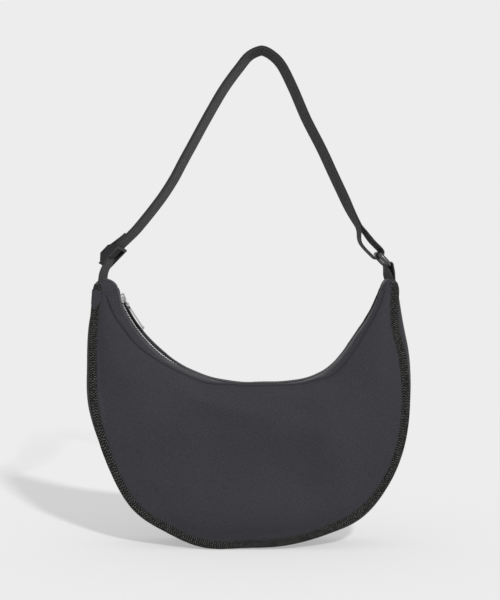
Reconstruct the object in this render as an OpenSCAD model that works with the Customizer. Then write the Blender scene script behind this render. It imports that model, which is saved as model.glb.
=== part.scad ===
// A half moon shoulder bag: two crescent panels, a crowned gusset with bound seams,
// a curved metal zip between two strips, and a doubled webbing strap on a bar slide and a ring.
// X runs along the bag's width, Y from front to rear, Z up from the surface it stands on.

/* [Bag body] */
// Width of the bag over its bottom seams
bag_w = 340; // [320:1:360]
// Height of the two tips, where the strap is sewn in
body_h = 284; // [275:1:295]
// Depth between the two bottom seams at the middle of the bag
bottom_depth = 66; // [58:1:76]
// Depth between the two zip strip seams at the middle of the bag
top_depth = 54; // [48:1:60]
// Depth of the bag at its two tips
tip_depth = 25; // [24.5:0.5:27]
// How far each filled panel swells past its seams
panel_dome = 11; // [6:1:16]
// How far the gusset swells past its seams
gusset_crown = 11; // [10:0.5:12]
// Thickness of the outer fabric
shell_t = 1.4; // [1:0.1:1.6]
// Gap between sewn layers
sewn_gap = 0.3; // [0.25:0.01:0.35]

/* [Seam binding] */
// Width of the seam allowance inside the binding
allowance_w = 6.2; // [5.5:0.1:7]
// Thickness of the binding tape
binding_t = 0.7; // [0.5:0.1:0.9]

/* [Zip] */
// Height of the lowest point of the zip
zip_low_z = 169; // [167:0.5:173]
// How far the ends of the zip lie below the tips
zip_end_drop = 14.1; // [13:0.1:15]
// How far the ends of the zip lie in from the left tip's seam
zip_end_inset = 15.3; // [15:0.1:16]
// How far the strips reach above the panels at the tips
strip_rise = 16; // [14:0.5:17]
// Half of the gap between the two tapes
tape_gap_half = 2.1; // [2.05:0.05:2.4]
// Outer edge of a tape, from the middle of the zip
tape_edge = 10.4; // [9.5:0.1:10.6]
// Thickness of a tape
tape_t = 0.7; // [0.5:0.1:0.9]
// Inner edge of a strip, from the middle of the zip
strip_edge = 6.4; // [6.2:0.1:7]
// Pitch of the teeth in one row
tooth_pitch = 3; // [2.8:0.1:3.6]
// Length of a tooth along the zip
tooth_l = 1.3; // [1:0.1:1.35]
// Height of a tooth
tooth_h = 2.6; // [2.2:0.1:2.8]
// Distance of the slider's middle from the end of the zip when the zip is closed
slider_from_end = 8.9; // [8.9:0.1:20]

/* [Zip slider and pull] */
// Length of the slider
slider_l = 12; // [10:0.5:13]
// Width of the slider at its wide end
slider_w = 10.4; // [10:0.1:11]
// Thickness of each plate of the slider
plate_t = 1.2; // [1:0.1:1.5]
// Diameter of the wire of the bridge on the slider
bridge_d = 1.6; // [1.4:0.1:1.8]
// Diameter of the wire of the oval link
link_d = 1.3; // [1.1:0.1:1.4]
// Length of the oval link, from centre to centre of its turns
link_l = 4.6; // [4.4:0.1:5.5]
// Length of the pull
pull_l = 31; // [26:1:34]
// Width of the pull
pull_w = 6; // [5:0.2:7]
// Thickness of the pull
pull_t = 1.5; // [1.2:0.1:1.8]
// Angle between the slider and the link and pull when they lie on the zip
pull_slope = 11.5; // [10.5:0.5:13.5]

/* [Strap] */
// Width of the webbing
web_w = 22; // [20:0.5:24]
// Thickness of the webbing
web_t = 1.4; // [1.2:0.1:1.6]
// Lean of the webbing's front edge towards the outside of the loop
web_lean = 20; // [16:1:22]
// Height of the top of the strap
strap_top_z = 521; // [516:1:530]

/* [Strap slide] */
// Length of the slide along the strap
slide_l = 26; // [25:0.5:28]
// Width of the side bars and end bars of the slide
slide_bar = 3; // [2.6:0.1:3.4]
// Diameter of its middle bar
slide_pin_d = 3.2; // [3:0.1:3.6]
// Room at each edge of the webbing in the slide and in the ring
web_side_room = 1.2; // [1:0.1:1.5]

/* [Strap ring] */
// Diameter of the bar of the ring
ring_bar_d = 4; // [3.6:0.1:4.4]
// Distance between the upper and lower bars of the ring
ring_span = 17.4; // [16.5:0.1:18.5]
// Slope of the ring below the level
ring_slope = 47; // [45:1:49]

/* [Hidden] */

overrun = 1;
bag_steps = 42;
seam_steps = 17;
web_gap = 0.4;
running_gap = 0.35;

// The bottom seam of a panel from the left tip round to the right tip, at stations 0 to 17,
// as shares of bag_w from the middle and of body_h from the floor
seam_x_shares = [-0.46, -0.4645, -0.4676, -0.46, -0.423, -0.352, -0.244, -0.13, -0.006,
    0.117, 0.241, 0.343, 0.4136, 0.46, 0.483, 0.475, 0.446, 0.443];
seam_z_shares = [0.9445, 0.826, 0.678, 0.512, 0.327, 0.168, 0.0813, 0.0314, 0.0314,
    0.0407, 0.083, 0.142, 0.242, 0.375, 0.5305, 0.693, 0.826, 0.952];
// The upper seam at the same stations, as shares of zip_half_angle and of strip_rise
upper_angle_shares = [-1.005, -0.97, -0.894, -0.808, -0.683, -0.546, -0.408, -0.243, -0.03,
    0.18, 0.35, 0.478, 0.585, 0.675, 0.767, 0.854, 0.932, 1.005];
upper_rise_shares = [0.72, 0.72, 0.71, 0.62, 0.53, 0.31, 0.13, 0.1, 0.1,
    0.12, 0.43, 0.48, 0.38, 0.32, 0.2, 0.18, 0.16, 0.15];
// How far the gusset swells at the same stations, as shares of gusset_crown
crown_shares = [0.35, 0.8, 0.95, 1, 0.75, 0.6, 0.65, 0.9, 0.95,
    1, 1.05, 1.1, 0.9, 0.65, 0.6, 0.8, 0.95, 0.5];

// The seams of the webbing in the two tips
left_seam_share = -0.449;
right_seam_share = 0.4414;
right_seam_lift = 1;
left_seam = [left_seam_share * bag_w, body_h];
right_seam = [right_seam_share * bag_w, body_h + right_seam_lift];

// The zip's arc passes through its two ends, in from the tips, and its lowest point
zip_x = 1.5;
zip_reach = zip_x - left_seam[0] - zip_end_inset;
zip_depth = body_h - zip_end_drop - zip_low_z;
zip_r = (zip_reach * zip_reach + zip_depth * zip_depth) / (2 * zip_depth);
zip_half_angle = 2 * atan(zip_depth / zip_reach);
zip_z = zip_low_z + zip_r;
function zip_turn(length) = length / zip_r * 180 / PI;
slider_angle = zip_turn(slider_from_end) - zip_half_angle;

function unit(v) = v / norm(v);
function flat(rows) = [for (r = rows) for (p = r) p];
function mix(a, b, s) = a * (1 - s) + b * s;
// A smooth curve through the values of a table, read at station k
function at(table, k) =
    let (n = len(table) - 1, i = min(floor(k), n - 1), s = k - i,
        a = table[max(i - 1, 0)], b = table[i], c = table[i + 1], d = table[min(i + 2, n)])
    b + s / 2 * (c - a + s * (2 * a - 5 * b + 4 * c - d + s * (3 * (b - c) + d - a)));
// How full the bag is at a station: nothing at the tips and all at the middle
function fullness(k) = pow(sin(180 * k / seam_steps), 0.8);

// Points and directions in the plane of the front view are pairs [x, z]
function seam(k) = [at(seam_x_shares, k) * bag_w, at(seam_z_shares, k) * body_h];
function seam_out(k) =
    let (e = 0.02, t = unit(seam(min(k + e, seam_steps)) - seam(max(k - e, 0))))
    [t[1], -t[0]];
function zip_ray(a) = [sin(a), -cos(a)];
function upper_angle(k) = at(upper_angle_shares, k) * zip_half_angle;
function rise(k) = at(upper_rise_shares, k) * strip_rise;
function upper(k) = [zip_x, zip_z] + (zip_r + rise(k)) * zip_ray(upper_angle(k));
function bottom_half(k) = mix(tip_depth, bottom_depth, fullness(k)) / 2;
function top_half(k) = mix(tip_depth, top_depth, fullness(k)) / 2;
function crown(k) = at(crown_shares, k) * gusset_crown;
function place(p, y) = [p[0], y, p[1]];
function station(i, steps, from = 0, to = seam_steps) = from + (to - from) * i / steps;

// A closed skin between two grids of points, the outer one and the inner one
module skin(outer, inner) {
    rows = len(outer);
    cols = len(outer[0]);
    half = rows * cols;
    function quad(a, b, c, d) = [[a, b, c], [a, c, d]];
    faces = concat(
        flat([for (i = [0:rows - 2]) for (j = [0:cols - 2])
            quad(i * cols + j, i * cols + j + 1, (i + 1) * cols + j + 1, (i + 1) * cols + j)]),
        flat([for (i = [0:rows - 2]) for (j = [0:cols - 2])
            quad(half + i * cols + j, half + (i + 1) * cols + j,
                half + (i + 1) * cols + j + 1, half + i * cols + j + 1)]),
        flat([for (i = [0:rows - 2])
            quad(i * cols, (i + 1) * cols, half + (i + 1) * cols, half + i * cols)]),
        flat([for (i = [0:rows - 2]) let (e = cols - 1)
            quad(i * cols + e, half + i * cols + e, half + (i + 1) * cols + e, (i + 1) * cols + e)]),
        flat([for (j = [0:cols - 2])
            quad(j, half + j, half + j + 1, j + 1)]),
        flat([for (j = [0:cols - 2]) let (e = (rows - 1) * cols)
            quad(e + j, e + j + 1, half + e + j + 1, half + e + j)]));
    polyhedron(concat(flat(outer), flat(inner)), faces);
}

// A solid through rings of points; the first half of a ring is one face of its section and the
// second half, run backwards, is the other
module loft(rings) {
    count = len(rings[0]);
    last = (len(rings) - 1) * count;
    faces = concat(
        flat([for (i = [0:len(rings) - 2]) for (j = [0:count - 1])
            let (a = i * count + j, b = i * count + (j + 1) % count)
            [[a, b, b + count], [a, b + count, a + count]]]),
        flat([for (j = [0:count / 2 - 2]) let (a = j, b = count - 1 - j)
            [[a, b, b - 1], [a, b - 1, a + 1]]]),
        flat([for (j = [0:count / 2 - 2]) let (a = last + j, b = last + count - 1 - j)
            [[a, b - 1, b], [a, a + 1, b - 1]]]));
    polyhedron(flat(rings), faces);
}

// The panel's skin, side -1 at the front and 1 at the rear
panel_shares = [0, 0.06, 0.2, 0.36, 0.52, 0.68, 0.84, 0.95, 1];
function panel_y(k, v) = mix(top_half(k), bottom_half(k), v)
    + panel_dome * fullness(k) * sin(180 * pow(v, 0.85));
function panel_point(k, v, y) = place(mix(upper(k), seam(k), v), y);
function panel_grid(side, depth) = [for (i = [0:bag_steps]) let (k = station(i, bag_steps))
    concat([for (v = panel_shares) panel_point(k, v, side * (panel_y(k, v) + depth))],
        [place(seam(k) + allowance_w * seam_out(k), side * (bottom_half(k) + depth))])];
module panel(side) {
    out = panel_grid(side, sewn_gap / 2 + shell_t);
    in = panel_grid(side, sewn_gap / 2);
    if (side < 0) skin(out, in);
    else skin(in, out);
}

// The gusset's section: r outwards from the seam, y across, from the front to the rear
crown_y_shares = [-1, -0.86, -0.62, -0.3, 0, 0.3, 0.62, 0.86, 1];
binding_back = sewn_gap / 2 + shell_t + sewn_gap + binding_t;
crown_start = binding_back + sewn_gap;
function squareness(k) = 2.4 + 3 * pow(fullness(k), 4);
function crown_r(k, s) = crown(k) * (1 - pow(abs(s), squareness(k)));
function gusset_place(k, r, y, low) =
    let (p = seam(k) + r * seam_out(k))
    [p[0], y, max(p[1], low)];
function gusset_ring(k) =
    let (h = bottom_half(k), c = h - crown_start, near = sewn_gap / 2)
    concat(
        [gusset_place(k, allowance_w, near + shell_t - h, 0),
            gusset_place(k, sewn_gap, near + shell_t - h, 0)],
        [for (s = crown_y_shares) gusset_place(k, sewn_gap + crown_r(k, s), s * c, 0)],
        [gusset_place(k, sewn_gap, h - near - shell_t, 0),
            gusset_place(k, allowance_w, h - near - shell_t, 0),
            gusset_place(k, allowance_w, h - near, 0),
            gusset_place(k, sewn_gap - shell_t, h - near, shell_t)],
        [for (j = [len(crown_y_shares) - 1:-1:0]) let (s = crown_y_shares[j])
            gusset_place(k, sewn_gap - shell_t + crown_r(k, s), s * c, shell_t)],
        [gusset_place(k, sewn_gap - shell_t, near - h, shell_t),
            gusset_place(k, allowance_w, near - h, 0)]);

// The binding is a tape folded over both seam allowances
function binding_ring(k, side) =
    let (h = bottom_half(k), room = sewn_gap / 2 + shell_t + sewn_gap, start = 3 * sewn_gap,
        end = allowance_w + sewn_gap, far = end + binding_t, back = room + binding_t)
    [for (q = [[start, back], [far, back], [far, -back], [start, -back],
            [start, -room], [end, -room], [end, room], [start, room]])
        place(seam(k) + q[0] * seam_out(k), side * (h + q[1]))];
module binding(side) {
    rings = [for (i = [0:bag_steps]) let (r = binding_ring(station(i, bag_steps), side))
        side < 0 ? r : [for (j = [len(r) - 1:-1:0]) r[j]]];
    loft(rings);
}

// A strip rises from the panel, turns over its shoulder and lies on the zip tape
shoulder_shares = [0, 0.3, 0.62, 1];
function bend(a, b, c, s) = (1 - s) * (1 - s) * a + 2 * s * (1 - s) * b + s * s * c;
tape_lift = sewn_gap + shell_t / 2;
shoulder_min = 2 * shell_t;
function strip_line(k) =
    let (wall = top_half(k) + sewn_gap / 2 + shell_t / 2, top = rise(k) + tape_lift,
        a = [sewn_gap, wall], b = [max(top, shoulder_min), wall], c = [top, tape_edge + shell_t])
    concat([for (s = shoulder_shares) bend(a, b, c, s)], [[top, strip_edge]]);
function strip_normals(line) = [for (j = [0:len(line) - 1])
    let (t = unit(line[min(j + 1, len(line) - 1)] - line[max(j - 1, 0)]))
    [-t[1], t[0]]];
function strip_grid(side, depth) = [for (i = [0:bag_steps])
    let (k = station(i, bag_steps), line = strip_line(k), turns = strip_normals(line),
        ray = zip_ray(upper_angle(k)), foot = upper(k))
    [for (j = [0:len(line) - 1]) let (q = line[j] + depth * turns[j])
        place(foot - q[0] * ray, side * q[1])]];
module zip_strip(side) {
    out = strip_grid(side, shell_t / 2);
    in = strip_grid(side, -shell_t / 2);
    if (side < 0) skin(in, out);
    else skin(out, in);
}

// Puts a shape on the zip's curve: its X then runs along the zip and its Z out of the bag
module on_zip(angle) {
    translate([zip_x, 0, zip_z]) rotate([0, -angle, 0]) translate([0, 0, -zip_r]) children();
}
// A band of the zip's curve, drawn as a section of radius and depth
module zip_band(half_angle) {
    translate([zip_x, 0, zip_z]) rotate([0, 90 + half_angle, 0]) rotate([90, 0, 0])
        rotate_extrude(angle = 2 * half_angle, $fn = 180) children();
}
module zip_tape(side) {
    zip_band(zip_half_angle) translate([zip_r, side < 0 ? tape_gap_half : -tape_edge])
        square([tape_t, tape_edge - tape_gap_half]);
}

// The teeth grip the tape's edge and meet across the middle
tooth_step = zip_turn(tooth_pitch);
stop_l = 2;
stop_step = zip_turn(stop_l);
stop_inset = 0.3;
stop_end_gap = zip_turn(stop_inset);
post_w = 3;
post_l = 2.6;
post_end = 1.25 * post_l - slider_l / 2;
first_tooth = slider_angle + zip_turn(post_end + running_gap);
tooth_span = zip_half_angle - stop_step - stop_end_gap - first_tooth;
tooth_count = floor(tooth_span / tooth_step - 0.1);
tooth_root = tape_gap_half + 0.9 * tooth_l;
tooth_reach = 0.7;
tooth_slack = 0.05;
module tooth() {
    difference() {
        translate([-tooth_l / 2, -tooth_root, -tape_t / 2 - tooth_h / 2])
            cube([tooth_l, tooth_root + tooth_reach, tooth_h]);
        translate([-tooth_l / 2 - overrun, -tooth_root - overrun, -tape_t - tooth_slack])
            cube([tooth_l + 2 * overrun, tooth_root + overrun - tape_gap_half + tooth_slack,
                tape_t + 2 * tooth_slack]);
    }
}
module zip_teeth(side) {
    for (i = [0:tooth_count - 1])
        on_zip(first_tooth + (i + (side < 0 ? 0.25 : 0.75)) * tooth_step)
            scale([1, -side, 1]) tooth();
}
// Each stop is a bar pinched over both tapes
module zip_stop() {
    difference() {
        translate([-stop_l / 2, -tooth_root, -tape_t / 2 - tooth_h / 2])
            cube([stop_l, 2 * tooth_root, tooth_h]);
        for (side = [-1, 1])
            translate([-stop_l / 2 - overrun,
                    side < 0 ? -tooth_root - overrun : tape_gap_half - tooth_slack,
                    -tape_t - tooth_slack])
                cube([stop_l + 2 * overrun, tooth_root + overrun - tape_gap_half + tooth_slack,
                    tape_t + 2 * tooth_slack]);
    }
}

// The linings hang just inside the shells
lining_t = 0.6;
lining_inset = 3;
lining_first_step = 3;
lining_last_step = 40;
lining_shares = [0, 0.2, 0.4, 0.6, 0.8, 1];
function panel_len(k) = norm(upper(k) - seam(k));
function lining_share(k, s) = mix(lining_inset, panel_len(k) - lining_inset, s) / panel_len(k);
function lining_grid(side, depth) =
    [for (i = [lining_first_step:lining_last_step]) let (k = station(i, bag_steps))
        [for (s = lining_shares) let (v = lining_share(k, s))
            panel_point(k, v, side * (panel_y(k, v) + depth))]];
module panel_lining(side) {
    out = lining_grid(side, -sewn_gap / 2);
    in = lining_grid(side, -sewn_gap / 2 - lining_t);
    if (side < 0) skin(out, in);
    else skin(in, out);
}
lining_side = 0.6;
function gusset_lining_ring(k) =
    let (c = bottom_half(k) - crown_start - lining_side, r = sewn_gap + shell_t)
    concat(
        [for (s = crown_y_shares) gusset_place(k, crown_r(k, s) - r, s * c, r)],
        [for (j = [len(crown_y_shares) - 1:-1:0]) let (s = crown_y_shares[j])
            gusset_place(k, crown_r(k, s) - r - lining_t, s * c, r + lining_t)]);
// The pocket lies on the rear lining, open at its top edge
pocket_first_step = 15;
pocket_last_step = 26;
pocket_shares = [0.2, 0.4, 0.6, 0.8];
pocket_depth = sewn_gap / 2 + lining_t + sewn_gap;
function pocket_grid(depth) =
    [for (i = [pocket_first_step:pocket_last_step]) let (k = station(i, bag_steps))
        [for (s = pocket_shares) let (v = lining_share(k, s))
            panel_point(k, v, panel_y(k, v) - depth)]];

// The folded tips close the ends of the shells and hold the webbing's seams
tip_shares = [0, 0.35, 0.7, 1];
seam_bundle = 3.2;
function lift(p) = p + [0, sewn_gap];
function zip_end(k) = [zip_x, zip_z]
    + (zip_r - tape_lift - shell_t / 2) * zip_ray(upper_angle(k));
function tip_ring(k, top, side, s) =
    let (wide = tip_depth / 2 + sewn_gap / 2 + shell_t, lean = web_lean * s, h = web_w / 2,
        low = [lift(seam(k) + allowance_w * seam_out(k)), lift(upper(k)), lift(zip_end(k))],
        high = [for (d = [-1, 0, 1]) top + [side * d * seam_bundle, 0]],
        grow = pow(s, 1.4),
        front = [for (j = [0:2]) let (p = mix(low[j], high[j], s))
            place(p + [-sin(lean) * h * side, 0], -mix(wide, h * cos(lean), grow))],
        rear = [for (j = [2:-1:0]) let (p = mix(low[j], high[j], s))
            place(p + [sin(lean) * h * side, 0], mix(wide, h * cos(lean), grow))],
        ring = concat(front, rear))
    side > 0 ? ring : [for (j = [len(ring) - 1:-1:0]) ring[j]];

// Where a point of the webbing lies: m is its place on the strap's middle line, n points out of
// the loop, h is the height over the middle line and w the place across, from front to rear
function web_point(m, n, h, w) =
    place(m + n * (h * cos(web_lean) - w * sin(web_lean)), h * sin(web_lean) + w * cos(web_lean));
function web_ring(m, n, h) = let (a = web_t / 2, b = web_w / 2)
    [web_point(m, n, h - a, -b), web_point(m, n, h - a, b),
        web_point(m, n, h + a, b), web_point(m, n, h + a, -b)];
function left_of(t) = [-t[1], t[0]];
// The strap's middle line: an arc that the slide runs on, then a curve over the top to the ring
layer = (web_t + web_gap) / 2;
slide_lift = 24;
slide_at_share = -0.4259;
slide_at = [slide_at_share * bag_w, body_h + slide_lift];
arc_r = 600;
arc_start = 46;
arc_end = 55.9;
function ray(a) = [sin(a), -cos(a)];
arc_centre = slide_at - arc_r * ray(arc_start);
function arc_angle(x) = arc_start + x / arc_r * 180 / PI;
function arc_mid(x) = arc_centre + arc_r * ray(arc_angle(x));
function arc_out(x) = -ray(arc_angle(x));
arc_len = (arc_end - arc_start) * PI / 180 * arc_r;
top_h = strap_top_z - body_h;
over_x_shares = [-0.1836, -0.1327, -0.0787, -0.0355, -0.0046, 0.0355, 0.0694, 0.1019,
    0.1373, 0.1775, 0.2253, 0.2685, 0.3133, 0.348];
over_z_shares = [0.567, 0.7, 0.833, 0.924, 0.977, 1, 0.981, 0.933,
    0.833, 0.7, 0.567, 0.434, 0.301, 0.2127];
tab_side = -2.4;
tab_lift = 11;
ring_low = right_seam + [tab_side, tab_lift];
ring_along = [cos(ring_slope), -sin(ring_slope)];
ring_out = left_of(ring_along);
ring_high = ring_low - ring_span * ring_along;
turn_r = 5.5;
over_line = concat([arc_mid(arc_len * 0.7), arc_mid(arc_len)],
    [for (i = [0:len(over_x_shares) - 1])
        [over_x_shares[i] * bag_w, body_h + over_z_shares[i] * top_h]],
    [ring_high - ring_span * ring_along, ring_high, ring_low]);
over_first_step = 1;
over_last_step = len(over_line) - 2;
parting_step = over_last_step - 3;
over_steps = 60;
function over_mid(k) = at(over_line, k);
function over_out(k) = let (e = 0.02) left_of(unit(over_mid(k + e) - over_mid(k - e)));
function spread(k) =
    mix(layer, turn_r, pow(max(k - parting_step, 0) / (over_last_step - parting_step), 1.1));
arc_pitch = 7;

function arc_rings(from, to, side) =
    let (n = ceil((to - from) / arc_pitch))
    [for (i = [0:n - 1]) let (x = from + (to - from) * i / n)
        web_ring(arc_mid(x), arc_out(x), side * layer)];
function over_rings(side) = [for (i = [0:over_steps])
    let (k = station(i, over_steps, over_first_step, over_last_step))
    web_ring(over_mid(k), over_out(k), side * spread(k))];

// The slide's parts, measured from the strap's middle line
web_face = web_gap / 2 + web_t;
pin_slack = 0.2;
pin_h = web_face + pin_slack + slide_pin_d / 2;
loop_r = slide_pin_d / 2 + pin_slack + web_t / 2;
end_bar_t = 2.4;
end_bar_top = -web_face - running_gap;
rail_y = web_w / 2 + web_side_room;
lap_l = 28;
lap_h = layer + web_t + web_gap / 2;
run_past = 2;
run_start = -slide_l / 2 - run_past;
module on_strap(x) {
    translate(place(arc_centre, 0)) rotate([0, -arc_angle(x), 0]) translate([0, 0, -arc_r])
        rotate([-web_lean, 0, 0]) children();
}
// The loop's own line, in x along the strap and h out of it: under the pin, round and back
loop_turn_steps = 8;
loop_line = concat(
    [for (s = [1, 0.75, 0.5, 0.25]) [s * lap_l, layer]],
    [for (i = [0:loop_turn_steps]) let (a = -90 - 180 * i / loop_turn_steps)
        [loop_r * cos(a), pin_h + loop_r * sin(a)]],
    [for (s = [0.12, 0.24, 0.36, 0.5, 0.7, 0.92])
        [s * lap_l, lap_h + (pin_h + loop_r - lap_h) * pow(max(1 - s / 0.42, 0), 1.5)]]);
function line_normal(line, j) =
    left_of(unit(line[min(j + 1, len(line) - 1)] - line[max(j - 1, 0)]));
function loop_ring(j) = let (q = loop_line[j], n = line_normal(loop_line, j), a = web_t / 2,
        b = web_w / 2)
    [for (c = [[-a, -b], [-a, b], [a, b], [a, -b]])
        let (x = q[0] + c[0] * n[0], h = q[1] + c[0] * n[1])
        web_point(arc_mid(x), arc_out(x), h, c[1])];

// Webbing that turns round a bar at m, from h to -h, on the side that sign gives
wrap_steps = 10;
function wrap_rings(m, r, sign, turn = 0) =
    [for (i = [0:wrap_steps]) let (a = 180 * i / wrap_steps + turn)
    [for (c = [[-web_t / 2, -web_w / 2], [-web_t / 2, web_w / 2],
            [web_t / 2, web_w / 2], [web_t / 2, -web_w / 2]])
        let (q = (r + c[0]) * [sin(a) * sign, cos(a)])
        web_point(m + q[0] * ring_along, ring_out, q[1], c[1])]];
tab_r = ring_bar_d / 2 + running_gap + web_t / 2;
tab_turn = asin(unit(right_seam - ring_low) * ring_out);
tab_shares = [0, 0.25, 0.5, 0.75, 1];
function tab_rings(side) = [for (s = tab_shares)
    let (m = mix(ring_low, right_seam, s), n = unit(mix(ring_out, [1, 0], s)),
        off = side * mix(tab_r, layer, s), turn = tab_turn * (1 - s), a = web_t / 2, b = web_w / 2)
    [for (c = [[-a, -b], [-a, b], [a, b], [a, -b]])
        let (q = (off + c[0]) * [-sin(turn), cos(turn)])
        web_point(m + q[0] * [n[1], -n[0]], n, q[1], c[1])]];
function reversed(list) = [for (j = [len(list) - 1:-1:0]) list[j]];
tail_shares = [0, 0.25, 0.5, 0.75, 1];
function tail_rings() =
    let (a = left_seam, b = arc_mid(run_start - sewn_gap), n = arc_out(run_start),
        t = -left_of(n), reach = norm(b - a),
        c = a + 0.4 * reach * [0, 1], d = b - 0.5 * reach * t)
    [for (s = tail_shares)
        let (u = 1 - s,
            m = u * u * u * a + 3 * u * u * s * c + 3 * u * s * s * d + s * s * s * b,
            g = unit(u * u * (c - a) + 2 * u * s * (d - c) + s * s * (b - d)))
        web_ring(m, left_of(g), -layer * s)];

// The slider: two plates with rims over the tapes' edges, joined by the post between the rows
channel = tooth_h / 2 + running_gap;
rim_gap = tape_t / 2 + running_gap;
rim_w = 1.1;
slider_narrow_share = 0.88;
chain_z = -tape_t / 2;
function slider_outline(w) = let (a = slider_l / 2, b = w / 2, c = b * slider_narrow_share)
    [[-a, -b * 0.55], [-a * 0.8, -b], [-a * 0.1, -b], [a * 0.85, -c], [a, -c * 0.8],
        [a, c * 0.8], [a * 0.85, c], [-a * 0.1, b], [-a * 0.8, b], [-a, b * 0.55]];
module slider_plate(sign) {
    translate([0, 0, chain_z]) scale([1, 1, sign]) {
        translate([0, 0, channel]) linear_extrude(plate_t) polygon(slider_outline(slider_w));
        translate([0, 0, rim_gap]) linear_extrude(channel - rim_gap + tooth_slack)
            difference() {
                polygon(slider_outline(slider_w));
                translate([-overrun, 0]) scale([1.5, 1])
                    polygon(slider_outline(slider_w - 2 * rim_w));
            }
    }
}
top_z = chain_z + channel + plate_t;
link_play = 0.3;
link_room = link_d + 2 * link_play;
link_axis_z = top_z + link_room / 2;
bridge_z = top_z + link_room + bridge_d / 2;
bridge_half = 3.2;
link_turn = 2.2;
link_corner = 0.9;
link_far = 2 * link_turn + link_l;
module on_slider() { on_zip(slider_angle) children(); }
module on_link() {
    on_slider() translate([0, 0, link_axis_z]) rotate([0, -pull_slope, 0]) children();
}
module wire_turn(r, angle) {
    rotate_extrude(angle = angle, $fn = 48) translate([r, 0]) circle(d = link_d, $fn = 24);
}
eye_clear = 0.3;
eye_w = 2 * (link_turn - link_corner) - 2 * eye_clear;
eye_wall = 0.8;
eye_d = link_d + 2 * eye_clear;
pull_cap_d = 3.2;

module front_panel() { color([0.24, 0.24, 0.26]) panel(-1); }
module rear_panel() { color([0.24, 0.24, 0.26]) panel(1); }
module bottom_gusset() {
    color([0.2, 0.2, 0.22])
        loft([for (i = [0:bag_steps]) gusset_ring(station(i, bag_steps))]);
}
module front_binding() { color([0.12, 0.13, 0.12]) binding(-1); }
module rear_binding() { color([0.12, 0.13, 0.12]) binding(1); }
module front_zip_strip() { color([0.27, 0.27, 0.29]) zip_strip(-1); }
module rear_zip_strip() { color([0.27, 0.27, 0.29]) zip_strip(1); }
module front_zip_tape() { color([0.08, 0.08, 0.09]) zip_tape(-1); }
module rear_zip_tape() { color([0.08, 0.08, 0.09]) zip_tape(1); }
module front_zip_teeth() { color("silver") zip_teeth(-1); }
module rear_zip_teeth() { color("silver") zip_teeth(1); }
module zip_stops() {
    color("silver")
        for (side = [-1, 1])
            on_zip(side * (zip_half_angle - stop_step / 2 - stop_end_gap)) zip_stop();
}
module left_tip() {
    color([0.22, 0.22, 0.24]) loft([for (s = tip_shares) tip_ring(0, left_seam, 1, s)]);
}
module right_tip() {
    color([0.22, 0.22, 0.24])
        loft([for (s = tip_shares) tip_ring(seam_steps, right_seam, -1, s)]);
}
module front_lining() { color([0.16, 0.16, 0.17]) panel_lining(-1); }
module rear_lining() { color([0.16, 0.16, 0.17]) panel_lining(1); }
module gusset_lining() {
    color([0.16, 0.16, 0.17])
        loft([for (i = [lining_first_step:lining_last_step]) gusset_lining_ring(station(i, bag_steps))]);
}
module slip_pocket() {
    color([0.14, 0.14, 0.15]) skin(pocket_grid(pocket_depth + lining_t), pocket_grid(pocket_depth));
}
module zip_slider() {
    color("silver") on_slider() {
        slider_plate(1);
        slider_plate(-1);
        translate([post_end - post_l, -post_w / 2, chain_z - channel - plate_t / 2])
            cube([post_l, post_w, 2 * channel + plate_t]);
        translate([-bridge_half, 0, bridge_z]) rotate([0, 90, 0])
            cylinder(h = 2 * bridge_half, d = bridge_d, $fn = 24);
        for (x = [-bridge_half, bridge_half]) {
            translate([x, 0, top_z - plate_t / 2])
                cylinder(h = bridge_z - top_z + plate_t / 2, d = bridge_d, $fn = 24);
            translate([x, 0, bridge_z]) sphere(d = bridge_d, $fn = 24);
        }
    }
}
module pull_link() {
    side_l = link_far - link_turn - link_corner;
    color("silver") on_link() {
        translate([link_turn, 0, 0]) rotate([0, 0, 90]) wire_turn(link_turn, 180);
        for (side = [-1, 1]) {
            translate([link_turn, side * link_turn, 0]) rotate([0, 90, 0])
                cylinder(h = side_l, d = link_d, $fn = 24);
            translate([link_turn + side_l, side * (link_turn - link_corner), 0])
                rotate([0, 0, side > 0 ? 0 : -90]) wire_turn(link_corner, 90);
        }
        translate([link_far, -link_turn + link_corner, 0]) rotate([-90, 0, 0])
            cylinder(h = 2 * (link_turn - link_corner), d = link_d, $fn = 24);
    }
}
module zip_pull() {
    eye_out = eye_d + 2 * eye_wall;
    color("silver") on_link() translate([link_far, 0, 0]) difference() {
        union() {
            translate([0, eye_w / 2, 0]) rotate([90, 0, 0])
                cylinder(h = eye_w, d = eye_out, $fn = 32);
            translate([0, -eye_w / 2, -pull_t / 2]) cube([eye_out, eye_w, pull_t]);
            translate([link_d + eye_wall, 0, -pull_t / 2]) linear_extrude(pull_t)
                polygon([[0, -eye_w / 2], [pull_w / 2, -pull_w / 2], [pull_l - eye_out, -pull_w / 2],
                    [pull_l - eye_out, pull_w / 2], [pull_w / 2, pull_w / 2], [0, eye_w / 2]]);
            translate([pull_l - pull_cap_d / 2, pull_w / 2, 0]) rotate([90, 0, 0])
                cylinder(h = pull_w, d = pull_cap_d, $fn = 32);
        }
        translate([0, pull_w, 0]) rotate([90, 0, 0])
            cylinder(h = 2 * pull_w, d = eye_d, $fn = 32);
    }
}
module strap_tail() { color([0.2, 0.2, 0.2]) loft(tail_rings()); }
module ring_tab() {
    color([0.2, 0.2, 0.2])
        loft(concat(reversed(tab_rings(1)), wrap_rings(ring_low, tab_r, -1, tab_turn),
            [for (r = tab_rings(-1)) [r[3], r[2], r[1], r[0]]]));
}
module strap_inner_run() {
    color([0.23, 0.23, 0.23])
        loft(concat(arc_rings(run_start, arc_len, -1), over_rings(-1)));
}
module strap_outer_run() {
    color([0.2, 0.2, 0.2])
        loft(concat(arc_rings(lap_l + sewn_gap, arc_len, 1), over_rings(1)));
}
module strap_turn() { color([0.2, 0.2, 0.2]) loft(wrap_rings(ring_high, turn_r, 1)); }
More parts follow.
